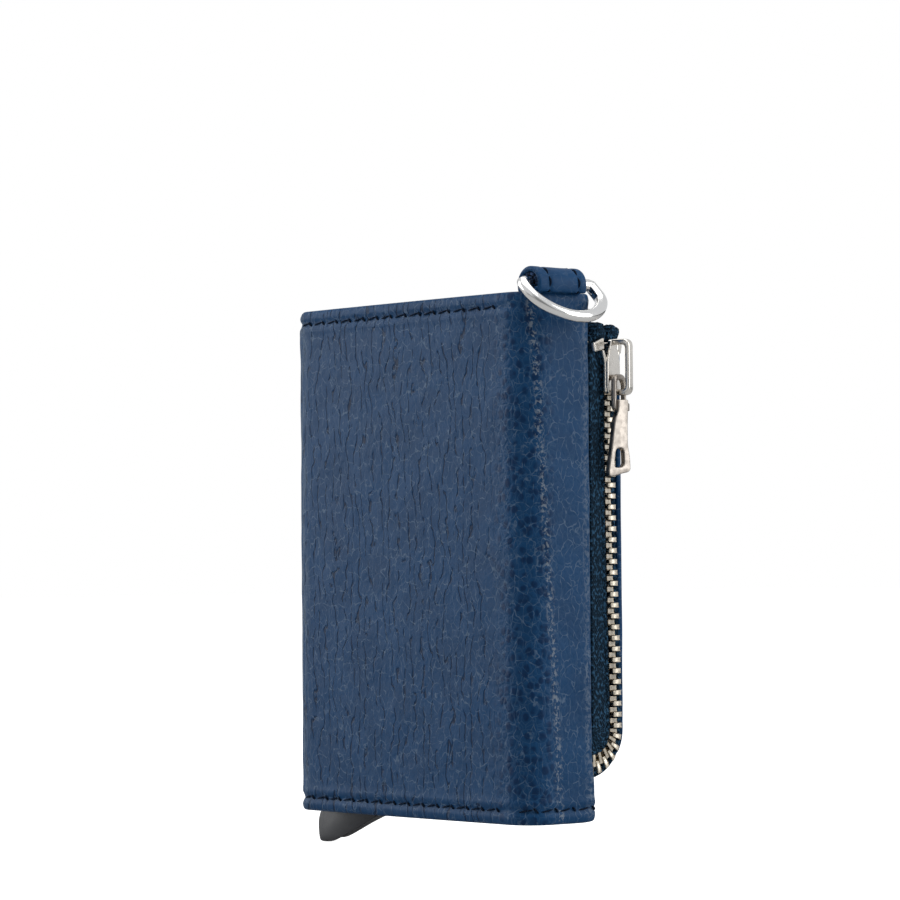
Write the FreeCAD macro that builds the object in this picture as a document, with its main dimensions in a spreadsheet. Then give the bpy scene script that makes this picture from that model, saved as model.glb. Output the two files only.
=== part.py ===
"""Card holder: a folding leather wallet round a metal card case, with a zipped coin pocket.

Wallet axes: X along the width (spine at +X), Y from the front cover to the back, Z up.
Lengths are in millimetres.
"""
import FreeCAD, Part
import os
import re
import Sketcher

SIZES = [
    # leather cover
    ("cover_left", -33.5), ("spine_face", 33.5), ("cover_tall", 96.0), ("leather_thick", 1.3),
    ("front_end", 27.85), ("front_pivot_x", 27.2), ("spine_start", 28.2), ("spine_end", 14.05),
    ("fold_radius", 5.2), ("cover_corner", 2.0), ("back_face", 15.5), ("back_right", 32.0),
    ("back_corner", 7.4), ("lining_thick", 0.6), ("back_lining_thick", 1.3), ("lining_inset", 1.2),
    ("slip_thick", 1.1), ("slip_left", -31.5), ("slip_right", 25.5), ("slip_low", 1.8), ("slip_high", 76.0),
    ("slip_dip", 7.0), ("spine_lining_high", 86.3),
    # stitching
    ("stitch_low", 2.6), ("stitch_high", 93.4), ("stitch_pitch", 4.5), ("stitch_long", 3.0),
    ("stitch_tall", 0.55), ("stitch_slant", 0.5), ("stitch_raise", 0.3), ("groove_deep", 0.35),
    ("groove_half", 0.7), ("front_stitch_start", -31.0), ("front_stitch_count", 13),
    ("spine_stitch_start", 5.9), ("spine_stitch_count", 2),
    # card case
    ("case_left", -32.2), ("case_right", 30.6), ("case_front", 4.1), ("case_back", 12.4),
    ("case_low", 0.9), ("cap_top", 5.0), ("case_top", 94.0), ("case_wall", 0.8), ("case_round", 3.0),
    ("cap_left", -11.6), ("cap_floor", 2.2), ("cap_wall", 1.0),
    # card lever
    ("lever_x", -28.3), ("lever_z", 9.0), ("boss_radius", 2.6), ("pin_radius", 0.9), ("pin_play", 0.05),
    ("lever_front", 4.3), ("lever_back", 12.2), ("arm_front", 6.3), ("arm_back", 10.2),
    ("arm_end", 12.0), ("arm_low", 2.6), ("arm_high", 4.4),
    # ring tab and D-ring
    ("tab_x", 32.3), ("tab_z", 97.65), ("tab_radius", 3.2), ("tab_inner", 1.9), ("tab_bore", 1.4),
    ("tab_front", 2.1), ("tab_back", 13.6), ("stem_left", 31.05), ("stem_right", 32.15),
    ("stem_low", 86.8), ("stem_front", 4.9), ("tab_clear", 0.05), ("tab_stitch_inset", 1.7), ("tab_stitch_long", 0.7),
    ("ring_y", 8.5), ("ring_span", 16.6), ("ring_wire", 1.1), ("ring_lean", 48.0),
    # coin pocket
    ("pocket_low", 4.6), ("pocket_high", 95.0), ("pocket_left", -32.5), ("pocket_right", 32.4),
    ("pocket_face", 26.5), ("panel_left", -26.0), ("panel_right", 28.9), ("panel_low", 8.1),
    ("panel_high", 88.5), ("base_cut", 5.0), ("panel_cut", 4.0), ("panel_wall", 1.2),
    ("gusset_back", 25.3), ("pocket_lining_thick", 0.4),
    # zip: nip is outward from the tape, across runs over the chain from the back cover
    ("zip_x", 32.4), ("zip_y", 15.75), ("zip_tilt", 18.0), ("turn_across", -0.45), ("turn_z", 16.0),
    ("tape_half", 0.25), ("tape_split", 4.9), ("chain_mid", 7.15), ("chain_half", 2.05),
    ("tooth_reach", 0.45), ("tooth_half", 1.0), ("tooth_tall", 0.9), ("tooth_pitch", 2.1),
    ("tooth_count", 34), ("turn_teeth", 5), ("turn_angle", 78.0), ("cord_half", 0.6), ("cord_wide", 0.6),
    ("tape_back", 9.95), ("tape_top", 86.8), ("cord_top", 85.2), ("tail_top", 90.6),
    ("tail_half", 1.3), ("tail_gap", 0.35),
    # slider and puller
    ("slider_low", 77.5), ("slider_high", 87.0), ("plate_in", 1.2), ("plate_out", 2.0),
    ("slider_top_half", 3.2), ("slider_low_half", 2.8), ("wedge_low", 85.7), ("wedge_half", 1.1),
    ("flange_in", 2.3), ("flange_low", 0.6), ("flange_high", 83.6),
    ("bridge_out", 4.9), ("bridge_in", 3.95), ("bridge_half", 0.85), ("bridge_low", 77.7),
    ("bridge_high", 86.6), ("bridge_foot", 1.0),
    ("puller_in", 2.35), ("puller_out", 3.45), ("eye_half", 2.2), ("eye_hole", 1.3),
    ("eye_top", 81.3), ("eye_bar", 80.2), ("eye_end", 75.4), ("neck_z", 74.2), ("neck_half", 1.5),
    ("puller_low", 62.9), ("puller_half", 2.7), ("slot_low", 64.6), ("slot_high", 68.8),
    ("slot_half", 1.5),
]

doc = FreeCAD.newDocument("card_holder")
sheet = doc.addObject("Spreadsheet::Sheet", "Sizes")
for row, (alias, value) in enumerate(SIZES, start=1):
    sheet.set(f"A{row}", alias)
    sheet.set(f"B{row}", str(value))
    sheet.setAlias(f"B{row}", alias)
doc.recompute()
NAMES = {alias for alias, _ in SIZES}
nodes = []


def link(text):
    """Write a formula in cell names as an expression on the sheet."""
    return re.sub(r"[a-z_]+", lambda m: "Sizes." + m[0] if m[0] in NAMES else m[0], str(text))


def size(text):
    """Value of a formula in cell names."""
    return float(sheet.evalExpression(link(text)))


def across(nip, along):
    """Point of the tilted zip section as a pair of X and Y formulas."""
    x = f"zip_x + ({nip}) * cos(zip_tilt) - ({along}) * sin(zip_tilt)"
    y = f"zip_y + ({nip}) * sin(zip_tilt) + ({along}) * cos(zip_tilt)"
    return x, y


def new_body(label, compound=False):
    body = doc.addObject("PartDesign::Body", label)
    body.Label = label
    body.AllowCompound = compound
    nodes.append(body)
    return body


def new_sketch(body, role, offset):
    sketch = body.newObject("Sketcher::SketchObject", body.Name + "_sketch")
    plane = [f for f in body.Origin.OriginFeatures if f.Role == role][0]
    sketch.AttachmentSupport = [(plane, "")]
    sketch.MapMode = "FlatFace"
    sketch.setExpression("AttachmentOffset.Base.z", link(offset))
    return sketch


def pin_point(sketch, geometry, end, x, y):
    """Fix one point of the sketch at two formulas."""
    for kind, text in (("DistanceX", x), ("DistanceY", y)):
        index = sketch.addConstraint(Sketcher.Constraint(kind, -1, 1, geometry, end, size(text)))
        sketch.setExpression(f"Constraints[{index}]", link(text))


def add_outline(sketch, points):
    """Closed polygon whose corners follow the sheet."""
    values = [FreeCAD.Vector(size(x), size(y), 0) for x, y in points]
    first = sketch.GeometryCount
    count = len(points)
    for i in range(count):
        sketch.addGeometry(Part.LineSegment(values[i], values[(i + 1) % count]), False)
    for i in range(count):
        following = first + (i + 1) % count
        sketch.addConstraint(Sketcher.Constraint("Coincident", first + i, 2, following, 1))
    for i, (x, y) in enumerate(points):
        pin_point(sketch, first + i, 1, x, y)


def add_circle(sketch, x, y, radius):
    centre = FreeCAD.Vector(size(x), size(y), 0)
    circle = Part.Circle(centre, FreeCAD.Vector(0, 0, 1), size(radius))
    index = sketch.addGeometry(circle, False)
    pin_point(sketch, index, 3, x, y)
    bound = sketch.addConstraint(Sketcher.Constraint("Radius", index, size(radius)))
    sketch.setExpression(f"Constraints[{bound}]", link(radius))


def box_points(x0, x1, y0, y1):
    return [(x0, y0), (x1, y0), (x1, y1), (x0, y1)]


def cut_corners(x0, x1, y0, y1, cut):
    """Rectangle with its four corners cut at 45 degrees."""
    return [
        (f"{x0} + {cut}", y0), (f"{x1} - {cut}", y0), (x1, f"{y0} + {cut}"), (x1, f"{y1} - {cut}"),
        (f"{x1} - {cut}", y1), (f"{x0} + {cut}", y1), (x0, f"{y1} - {cut}"), (x0, f"{y0} + {cut}"),
    ]


def extrude(kind, body, sketch, length, backwards=False):
    """Pad or pocket; a pocket has to take material away."""
    before = body.Shape.Volume if body.Tip else 0.0
    feature = body.newObject("PartDesign::" + kind, body.Name + "_" + kind.lower())
    feature.Profile = sketch
    feature.setExpression("Length", link(length))
    feature.Reversed = backwards
    body.Tip = feature
    doc.recompute()
    if kind == "Pocket" and body.Shape.Volume > before - 1e-4:
        raise RuntimeError(f"{feature.Name} cuts nothing: {feature.getStatusString()}")
    return feature


def block(body, role, offset, points, length, backwards=False, kind="Pad"):
    sketch = new_sketch(body, role, offset)
    add_outline(sketch, points)
    return extrude(kind, body, sketch, length, backwards)


def disc(body, role, offset, x, y, radius, length, backwards=False, kind="Pad"):
    sketch = new_sketch(body, role, offset)
    add_circle(sketch, x, y, radius)
    return extrude(kind, body, sketch, length, backwards)


def plate(body, y0, y1, points):
    """Pad of an X-Z outline from one Y to another."""
    return block(body, "XZ_Plane", f"-({y0})", points, f"({y1}) - ({y0})", backwards=True)


def cut_plate(body, y0, y1, points):
    """Pocket with an X-Z outline from one Y to another."""
    return block(body, "XZ_Plane", f"-({y0})", points, f"({y1}) - ({y0})", kind="Pocket")


def straight_edges(shape, direction, points):
    """Names of the straight edges along a direction that pass through the given points."""
    found = []
    for number, edge in enumerate(shape.Edges, start=1):
        if edge.Curve.TypeId != "Part::GeomLine":
            continue
        run = edge.Vertexes[-1].Point - edge.Vertexes[0].Point
        if run.normalize().cross(direction).Length > 1e-4:
            continue
        start = edge.Vertexes[0].Point
        for point in points:
            if (FreeCAD.Vector(*point) - start).cross(direction).Length < 1e-3:
                found.append(f"Edge{number}")
    return found


def round_edges(body, direction, points, radius):
    """Fillet straight edges that share a direction."""
    base = body.Tip
    edges = straight_edges(base.Shape, FreeCAD.Vector(*direction), points)
    if len(edges) < len(points):
        raise RuntimeError(f"{body.Name}: an edge to round is missing")
    fillet = body.newObject("PartDesign::Fillet", body.Name + "_fillet")
    fillet.Base = (base, edges)
    fillet.setExpression("Radius", link(radius))
    body.Tip = fillet
    doc.recompute()
    return fillet


def repeat_line(body, feature, axis, pitch, count):
    """Linear pattern along one of the body's own axes."""
    pattern = body.newObject("PartDesign::LinearPattern", body.Name + "_pattern")
    pattern.Originals = [feature]
    line = [f for f in body.Origin.OriginFeatures if f.Role == axis][0]
    pattern.Direction = (line, [""])
    pattern.setExpression("Occurrences", link(count))
    pattern.setExpression("Length", link(f"({pitch}) * ({count} - 1)"))
    body.Tip = pattern
    doc.recompute()
    return pattern


def slanted(x, y):
    """One slanted stitch, centred on a pair of formulas."""
    half = "stitch_long / 2"
    tall = "stitch_tall / 2"
    return [
        (f"{x} - {half}", f"{y} - {tall} - stitch_slant / 2"),
        (f"{x} + {half}", f"{y} - {tall} + stitch_slant / 2"),
        (f"{x} + {half}", f"{y} + {tall} + stitch_slant / 2"),
        (f"{x} - {half}", f"{y} + {tall} - stitch_slant / 2"),
    ]


# ---- back cover -------------------------------------------------------------------------------
back_leather = new_body("back_cover_leather")
inner_face = "back_face - leather_thick"
plate(back_leather, inner_face, "back_face", box_points("cover_left", "back_right", "0", "cover_tall"))
left, right, top = size("cover_left"), size("back_right"), size("cover_tall")
round_edges(back_leather, (0, 1, 0), [(left, 0, 0), (left, 0, top), (right, 0, 0)], "cover_corner")
round_edges(back_leather, (0, 1, 0), [(right, 0, top)], "back_corner")

back_lining = new_body("back_cover_lining")
plate(
    back_lining, f"{inner_face} - back_lining_thick", inner_face,
    box_points(
        "cover_left + lining_inset", "back_right - lining_inset",
        "lining_inset", "cover_tall - lining_inset",
    ),
)
corner = (size("back_right - lining_inset"), 0, size("cover_tall - lining_inset"))
round_edges(back_lining, (0, 1, 0), [corner], "back_corner - lining_inset")

# ---- card case --------------------------------------------------------------------------------
case_shell = new_body("card_case_shell")
block(
    case_shell, "XY_Plane", "cap_top", box_points("case_left", "case_right", "case_front", "case_back"),
    "case_top - cap_top",
)
case_corners = [
    (size(x), size(y), 0) for x in ("case_left", "case_right") for y in ("case_front", "case_back")
]
block(
    case_shell, "XY_Plane", "case_top",
    box_points(
        "case_left + case_wall", "case_right - case_wall", "case_front + case_wall",
        "case_back - case_wall",
    ),
    "case_top - cap_top", kind="Pocket",
)
inside = size("case_wall")
inner_corners = [
    (x + (inside if x < 0 else -inside), y + (inside if y < 8 else -inside), 0)
    for x, y, _ in case_corners
]
round_edges(case_shell, (0, 0, 1), inner_corners, "case_round - case_wall")
round_edges(case_shell, (0, 0, 1), case_corners, "case_round")
disc(
    case_shell, "XZ_Plane", "-(case_front - 1)", "lever_x", "lever_z", "pin_radius",
    "case_back - case_front + 2", kind="Pocket",
)

bottom_cap = new_body("case_bottom_cap")
block(
    bottom_cap, "XY_Plane", "case_low", box_points("cap_left", "case_right", "case_front", "case_back"),
    "cap_top - case_low",
)
cap_corners = [(x, y, 0) for x, y, _ in case_corners if x > 0]
round_edges(bottom_cap, (0, 0, 1), cap_corners, "case_round")
block(
    bottom_cap, "XY_Plane", "cap_top",
    box_points(
        "cap_left - 1", "case_right - case_round", "case_front + cap_wall", "case_back - cap_wall"
    ),
    "cap_top - cap_floor", kind="Pocket",
)

lever_pin = doc.addObject("Part::Cylinder", "lever_pin")
lever_pin.Label = "lever_pin"
lever_pin.setExpression("Radius", link("pin_radius"))
lever_pin.setExpression("Height", link("case_back - case_front"))
pin_start = FreeCAD.Vector(size("lever_x"), size("case_front"), size("lever_z"))
lever_pin.Placement = FreeCAD.Placement(pin_start, FreeCAD.Rotation(FreeCAD.Vector(1, 0, 0), -90))
nodes.append(lever_pin)

# ---- card lever -------------------------------------------------------------------------------
lever = new_body("card_lever")
plate(lever, "arm_front", "arm_back", [
    ("-31.2", "2.0"), ("-27.0", "-1.5"), ("-14.0", "0.4"), ("cap_left - 0.6", "cap_floor + 0.3"),
    ("arm_end", "arm_low"), ("arm_end", "arm_high"), ("-8.0", "arm_high - 0.5"), ("-22.0", "4.6"), ("-25.7", "lever_z"),
    ("-30.9", "lever_z"),
])
plate(lever, "lever_front", "lever_back", [
    ("-32.6", "-5.4"), ("-32.9", "-2.4"), ("-32.4", "0.2"), ("-31.4", "4.3"), ("-28.5", "4.3"),
    ("-23.3", "2.5"), ("-15.2", "-0.5"), ("-15.6", "-1.2"), ("-18.0", "-2.0"), ("-24.0", "-4.1"),
    ("-30.5", "-5.9"),
])
plate(lever, "lever_front + 3", "lever_back", [
    ("-35.6", "-6.4"), ("-35.8", "-3.0"), ("-35.3", "-0.6"), ("-32.0", "1.5"), ("-24.0", "-1.0"),
    ("-18.0", "-2.2"), ("-24.5", "-4.7"), ("-30.0", "-6.1"), ("-33.0", "-6.4"),
])
disc(
    lever, "XZ_Plane", "-arm_front", "lever_x", "lever_z", "boss_radius", "arm_back - arm_front",
    backwards=True,
)
disc(
    lever, "XZ_Plane", "-(arm_front - 1)", "lever_x", "lever_z", "pin_radius + pin_play",
    "arm_back - arm_front + 2", kind="Pocket",
)

# ---- coin pocket ------------------------------------------------------------------------------
def pocket_loft(body, kind, sections):
    """Loft between cut-corner outlines: each section is Y, then left, right, low, high and cut."""
    sketches = []
    for y, x0, x1, z0, z1, cut in sections:
        sketch = new_sketch(body, "XZ_Plane", f"-({y})")
        add_outline(sketch, cut_corners(x0, x1, z0, z1, cut))
        sketches.append(sketch)
    loft = body.newObject("PartDesign::" + kind, body.Name + "_" + kind.lower())
    loft.Profile = sketches[0]
    loft.Sections = sketches[1:]
    loft.Ruled = True
    body.Tip = loft
    doc.recompute()


panel = new_body("coin_pocket_panel")
pocket_loft(panel, "AdditiveLoft", [
    ("back_face", "pocket_left", "pocket_right", "pocket_low", "pocket_high", "base_cut"),
    ("pocket_face", "panel_left", "panel_right", "panel_low", "panel_high", "panel_cut"),
])
wall = "panel_wall"
pocket_loft(panel, "SubtractiveLoft", [
    ("back_face", f"(pocket_left + {wall})", f"(pocket_right - {wall})", f"(pocket_low + {wall})",
     f"(pocket_high - {wall})", "base_cut"),
    ("gusset_back", f"(panel_left + {wall})", f"(panel_right - {wall})", f"(panel_low + {wall})",
     f"(panel_high - {wall})", "panel_cut"),
])
cut_plate(panel, "back_face - 1", "gusset_back", [
    ("pocket_right - 3.8", "turn_z - 10.9"), ("40", "turn_z - 10.9"), ("40", "tail_top + 0.4"),
    ("pocket_right - 6", "tail_top + 0.4"), ("pocket_right - 6", "turn_z"),
    ("pocket_right - 3.8", "turn_z - 3"),
])

pocket_lining = new_body("coin_pocket_lining")
plate(
    pocket_lining, "gusset_back - pocket_lining_thick", "gusset_back",
    cut_corners(
        "(panel_left + 2 * panel_wall)", "(panel_right - 3 * panel_wall)",
        "(panel_low + 2 * panel_wall)", "(panel_high - 2 * panel_wall)", "panel_cut",
    ),
)

inset = "stitch_low"
for z in (f"panel_high - {inset}", f"panel_low + {inset}"):
    cut_plate(panel, "pocket_face - groove_deep", "pocket_face + 1", box_points(
        "panel_left + panel_cut", "panel_right - panel_cut", f"{z} - groove_half", f"{z} + groove_half",
    ))

pocket_stitching = new_body("pocket_stitching", compound=True)
stitch_sketch = new_sketch(pocket_stitching, "XZ_Plane", "-(pocket_face - groove_deep)")
for z in (f"panel_high - {inset}", f"panel_low + {inset}"):
    add_outline(stitch_sketch, slanted("panel_left + 6", z))
pocket_stitch = extrude("Pad", pocket_stitching, stitch_sketch, "stitch_raise", backwards=True)
repeat_line(pocket_stitching, pocket_stitch, "X_Axis", "stitch_pitch", "10")

# ---- zip --------------------------------------------------------------------------------------
def zip_strip(label, nip, start, stop, top):
    """Strip of constant tilted section: straight run, then a turn in its own plane towards the cover."""
    body = new_body(label)
    corners = [(f"-{nip}", start), (nip, start), (nip, stop), (f"-{nip}", stop)]
    section = [across(a, b) for a, b in corners]
    block(body, "XY_Plane", "turn_z", section, f"{top} - turn_z")
    bend = new_sketch(body, "XY_Plane", "turn_z")
    add_outline(bend, section)
    ends = [across("10", "turn_across"), across("0", "turn_across")]
    points = [FreeCAD.Vector(size(x), size(y), 0) for x, y in ends]
    line = bend.addGeometry(Part.LineSegment(*points), True)
    for end, (x, y) in enumerate(ends, start=1):
        pin_point(bend, line, end, x, y)
    doc.recompute()
    turn = body.newObject("PartDesign::Revolution", label + "_turn")
    turn.Profile = bend
    turn.ReferenceAxis = (bend, ["Axis0"])
    turn.setExpression("Angle", link("turn_angle"))
    body.Tip = turn
    doc.recompute()
    return body, bend


def zip_teeth(label, strip, tooth, lift):
    """Row of teeth on a cord: a straight run and the turn."""
    body, bend = zip_strip(label, "cord_half", strip[0], strip[1], "cord_top")
    corners = [("-tooth_half", tooth[0]), ("tooth_half", tooth[0])]
    corners += [("tooth_half", tooth[1]), ("-tooth_half", tooth[1])]
    section = [across(a, b) for a, b in corners]
    first = block(body, "XY_Plane", f"turn_z + {lift}", section, "tooth_tall")
    repeat_line(body, first, "Z_Axis", "tooth_pitch", "tooth_count")
    around = body.newObject("PartDesign::PolarPattern", label + "_around")
    around.Originals = [first]
    around.Axis = (bend, ["Axis0"])
    around.setExpression("Occurrences", link("turn_teeth"))
    around.Angle = 63.3
    body.Tip = around
    doc.recompute()


zip_strip("zip_tape_front", "tape_half", "0", "tape_split", "tape_top")
cord_rear = "chain_mid * 2 - tape_split"
zip_strip("zip_tape_rear", "tape_half", cord_rear, "tape_back", "tape_top")
zip_teeth(
    "zip_teeth_front", ("tape_split", "tape_split + cord_wide"),
    ("chain_mid - chain_half", "chain_mid + tooth_reach"), "0",
)
zip_teeth(
    "zip_teeth_rear", (f"{cord_rear} - cord_wide", cord_rear),
    ("chain_mid - tooth_reach", "chain_mid + chain_half"), "tooth_pitch / 2",
)

tails = new_body("zip_tape_ends", compound=True)
tail_sketch = new_sketch(tails, "XY_Plane", "tape_top + 0.5")
for near, far in (("0.6", "chain_mid - tail_gap"), ("chain_mid + tail_gap", "tape_back + 0.4")):
    corners = [("-tail_half", near), ("tail_half", near), ("tail_half", far), ("-tail_half", far)]
    add_outline(tail_sketch, [across(a, b) for a, b in corners])
extrude("Pad", tails, tail_sketch, "tail_top - tape_top - 0.5")

# ---- slider and puller: drawn in the tilted axes of the zip --------------------------------------
zip_frame = FreeCAD.Placement(
    FreeCAD.Vector(size("zip_x"), size("zip_y"), 0),
    FreeCAD.Rotation(FreeCAD.Vector(0, 0, 1), size("zip_tilt")),
)


def slab(body, x0, x1, points):
    """Pad of a Y-Z outline from one X to another."""
    return block(body, "YZ_Plane", x0, points, f"({x1}) - ({x0})")


slider = new_body("slider_body")
mid = "chain_mid"
wings = [
    (f"{mid} - slider_low_half + 0.6", "slider_low"), (f"{mid} + slider_low_half - 0.6", "slider_low"),
    (f"{mid} + slider_low_half", "slider_low + 0.6"), (f"{mid} + slider_low_half", "flange_high"),
    (f"{mid} + slider_top_half", "slider_high - 1.2"), (f"{mid} + slider_top_half - 1", "slider_high"),
    (f"{mid} - slider_top_half + 1", "slider_high"), (f"{mid} - slider_top_half", "slider_high - 1.2"),
    (f"{mid} - slider_low_half", "flange_high"), (f"{mid} - slider_low_half", "slider_low + 0.6"),
]
wedge = box_points(f"{mid} - wedge_half", f"{mid} + wedge_half", "wedge_low", "slider_high")
slab(slider, "-plate_out", "-plate_in", wings)
slab(slider, "-plate_in", "plate_in", wedge)
slab(slider, "plate_in", "plate_out", wings)
for side in ("-", "+"):
    flange = box_points(
        f"{mid} {side} flange_in", f"{mid} {side} slider_low_half", "slider_low + 0.6", "flange_high"
    )
    slab(slider, "flange_low", "plate_in", flange)
    slab(slider, "-plate_in", "-flange_low", flange)

bridge = new_body("slider_bridge")
slot_low, slot_high = "bridge_low + bridge_foot", "bridge_high - bridge_foot"
plate(bridge, f"{mid} - bridge_half", f"{mid} + bridge_half", [
    ("plate_out", "bridge_low"), ("bridge_out - 1", "bridge_low"), ("bridge_out", "bridge_low + 1"),
    ("bridge_out", "bridge_high - 1"), ("bridge_out - 1", "bridge_high"), ("plate_out", "bridge_high"),
    ("plate_out", slot_high), ("bridge_in", slot_high), ("bridge_in", slot_low), ("plate_out", slot_low),
])

puller = new_body("zip_puller")
slab(puller, "puller_in", "puller_out", [
    (f"{mid} - eye_half", "eye_top"), (f"{mid} - eye_half", "neck_z + 1"), (f"{mid} - neck_half", "neck_z"),
    (f"{mid} - puller_half", "puller_low + 1.5"), (f"{mid} - puller_half + 0.6", "puller_low"),
    (mid, "puller_low + 0.5"), (f"{mid} + puller_half - 0.6", "puller_low"),
    (f"{mid} + puller_half", "puller_low + 1.5"), (f"{mid} + neck_half", "neck_z"),
    (f"{mid} + eye_half", "neck_z + 1"), (f"{mid} + eye_half", "eye_top"),
])
for half, low, high in (("eye_hole", "eye_end", "eye_bar"), ("slot_half", "slot_low", "slot_high")):
    block(
        puller, "YZ_Plane", "puller_out + 1", box_points(f"{mid} - {half}", f"{mid} + {half}", low, high),
        "puller_out - puller_in + 2", kind="Pocket",
    )

for body in (slider, bridge, puller):
    body.Placement = zip_frame

# ---- spine ------------------------------------------------------------------------------------
spine = new_body("spine_leather")
block(
    spine, "XY_Plane", "0", box_points("spine_start", "spine_face", "0", "spine_end"), "cover_tall"
)
block(
    spine, "XY_Plane", "cover_tall",
    box_points("spine_start - 1", "spine_face - leather_thick", "leather_thick", "spine_end + 1"),
    "cover_tall", kind="Pocket",
)
fold_inside = (size("spine_face - leather_thick"), size("leather_thick"), 0)
round_edges(spine, (0, 0, 1), [fold_inside], "fold_radius - leather_thick")
round_edges(spine, (0, 0, 1), [(size("spine_face"), 0, 0)], "fold_radius")
spine_tip = size("spine_end")
tips = [(size("spine_face"), spine_tip, 0), (size("spine_face - leather_thick"), spine_tip, 0)]
round_edges(spine, (0, 0, 1), tips, "leather_thick / 2 - 0.01")
for z in ("stitch_low", "stitch_high"):
    block(
        spine, "YZ_Plane", "spine_face + 1",
        box_points("4.2", "spine_end - 1", f"{z} - groove_half", f"{z} + groove_half"),
        "groove_deep + 1", kind="Pocket",
    )

spine_lining = new_body("spine_lining")
spine_inner = "spine_face - leather_thick"
slab(
    spine_lining, f"{spine_inner} - lining_thick", spine_inner,
    box_points("7.2", "spine_end - 1.2", "lining_inset", "spine_lining_high"),
)

spine_stitching = new_body("spine_stitching", compound=True)
stitch_sketch = new_sketch(spine_stitching, "YZ_Plane", "spine_face - groove_deep")
for z in ("stitch_low", "stitch_high"):
    add_outline(stitch_sketch, slanted("spine_stitch_start + stitch_long / 2", z))
spine_stitch = extrude("Pad", spine_stitching, stitch_sketch, "stitch_raise")
repeat_line(spine_stitching, spine_stitch, "Y_Axis", "3.6", "spine_stitch_count")

# ---- ring tab ---------------------------------------------------------------------------------
tab = new_body("tab_leather")
tab_length = "tab_back - tab_front"
disc(tab, "XZ_Plane", "-tab_front", "tab_x", "tab_z", "tab_radius", tab_length, backwards=True)
plate(
    tab, "tab_front", "tab_back", box_points("stem_left", "stem_right", "stem_low", "tab_z - tab_inner")
)
disc(tab, "XZ_Plane", "-(tab_front - 1)", "tab_x", "tab_z", "tab_inner", f"{tab_length} + 2", kind="Pocket")
cut_plate(
    tab, "tab_front - 1", "tab_back + 1",
    box_points("stem_right", "tab_x + 6", "cover_tall - 3", "cover_tall + tab_clear"),
)
cut_plate(
    tab, "tab_front - 1", "stem_front",
    box_points("tab_x - 6", "stem_right + 1", "stem_low - 1", "cover_tall + tab_clear"),
)

tab_lining = new_body("tab_lining")
disc(
    tab_lining, "XZ_Plane", "-(tab_front + 0.2)", "tab_x", "tab_z", "tab_inner",
    f"{tab_length} - 0.4", backwards=True,
)
disc(
    tab_lining, "XZ_Plane", "-(tab_front - 1)", "tab_x", "tab_z", "tab_bore", f"{tab_length} + 2",
    kind="Pocket",
)
cut_plate(
    tab_lining, "tab_front - 1", "tab_back + 1",
    box_points("tab_x - 6", "tab_x + 6", "cover_tall - 3", "cover_tall + tab_clear"),
)

tab_stitching = new_body("tab_stitching", compound=True)
stitch_sketch = new_sketch(tab_stitching, "XZ_Plane", "-(tab_front + tab_stitch_inset)")
for angle in (-12, 28, 68):
    reach = [(angle - 9, "0"), (angle - 9, "0.25"), (angle + 9, "0.25"), (angle + 9, "0")]
    add_outline(stitch_sketch, [
        (f"tab_x + (tab_radius + 0.02 + {out}) * cos({turn})",
         f"tab_z + (tab_radius + 0.02 + {out}) * sin({turn})")
        for turn, out in reach
    ])
tab_stitch = extrude("Pad", tab_stitching, stitch_sketch, "tab_stitch_long", backwards=True)
repeat_line(
    tab_stitching, tab_stitch, "Y_Axis", f"{tab_length} - 2 * tab_stitch_inset - tab_stitch_long", "2"
)

# ---- D-ring: half hoop, straight leg and two round corners ----------------------------------------
hoop = doc.addObject("Part::Torus", "ring_hoop")
hoop.setExpression("Radius1", link("ring_span / 2"))
hoop.setExpression("Radius2", link("ring_wire"))
hoop.Angle3 = 180
hoop.Placement = FreeCAD.Placement(FreeCAD.Vector(), FreeCAD.Rotation(FreeCAD.Vector(0, 0, 1), -90))
leg = doc.addObject("Part::Cylinder", "ring_leg")
leg.setExpression("Radius", link("ring_wire"))
leg.setExpression("Height", link("ring_span"))
half_span = size("ring_span / 2")
leg.Placement = FreeCAD.Placement(
    FreeCAD.Vector(0, -half_span, 0), FreeCAD.Rotation(FreeCAD.Vector(1, 0, 0), -90)
)
corners = []
for side in (-1, 1):
    corner = doc.addObject("Part::Sphere", "ring_corner")
    corner.setExpression("Radius", link("ring_wire"))
    corner.Placement = FreeCAD.Placement(FreeCAD.Vector(0, side * half_span, 0), FreeCAD.Rotation())
    corners.append(corner)
ring = doc.addObject("Part::MultiFuse", "d_ring")
ring.Label = "d_ring"
ring.Shapes = [hoop, leg] + corners
ring.Placement = FreeCAD.Placement(
    FreeCAD.Vector(size("tab_x"), size("ring_y"), size("tab_z")),
    FreeCAD.Rotation(FreeCAD.Vector(0, 1, 0), size("ring_lean")),
)
nodes.append(ring)

# ---- front cover ------------------------------------------------------------------------------
front = new_body("front_cover_leather")
plate(front, "0", "leather_thick", box_points("cover_left", "front_end", "0", "cover_tall"))
round_edges(front, (0, 1, 0), [(left, 0, 0), (left, 0, top)], "cover_corner")
fold_edge = size("front_end")
hinge_edges = [(fold_edge, 0, 0), (fold_edge, size("leather_thick"), 0)]
round_edges(front, (0, 0, 1), hinge_edges, "leather_thick / 2 - 0.01")
for z in ("stitch_low", "stitch_high"):
    cut_plate(
        front, "-1", "groove_deep",
        box_points("cover_left + 1", "front_end - 1", f"{z} - groove_half", f"{z} + groove_half"),
    )

front_lining = new_body("front_cover_lining")
lining_back = "leather_thick + lining_thick"
plate(
    front_lining, "leather_thick", lining_back,
    box_points(
        "cover_left + lining_inset", "front_pivot_x - 0.8", "lining_inset", "cover_tall - lining_inset"
    ),
)

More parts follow.
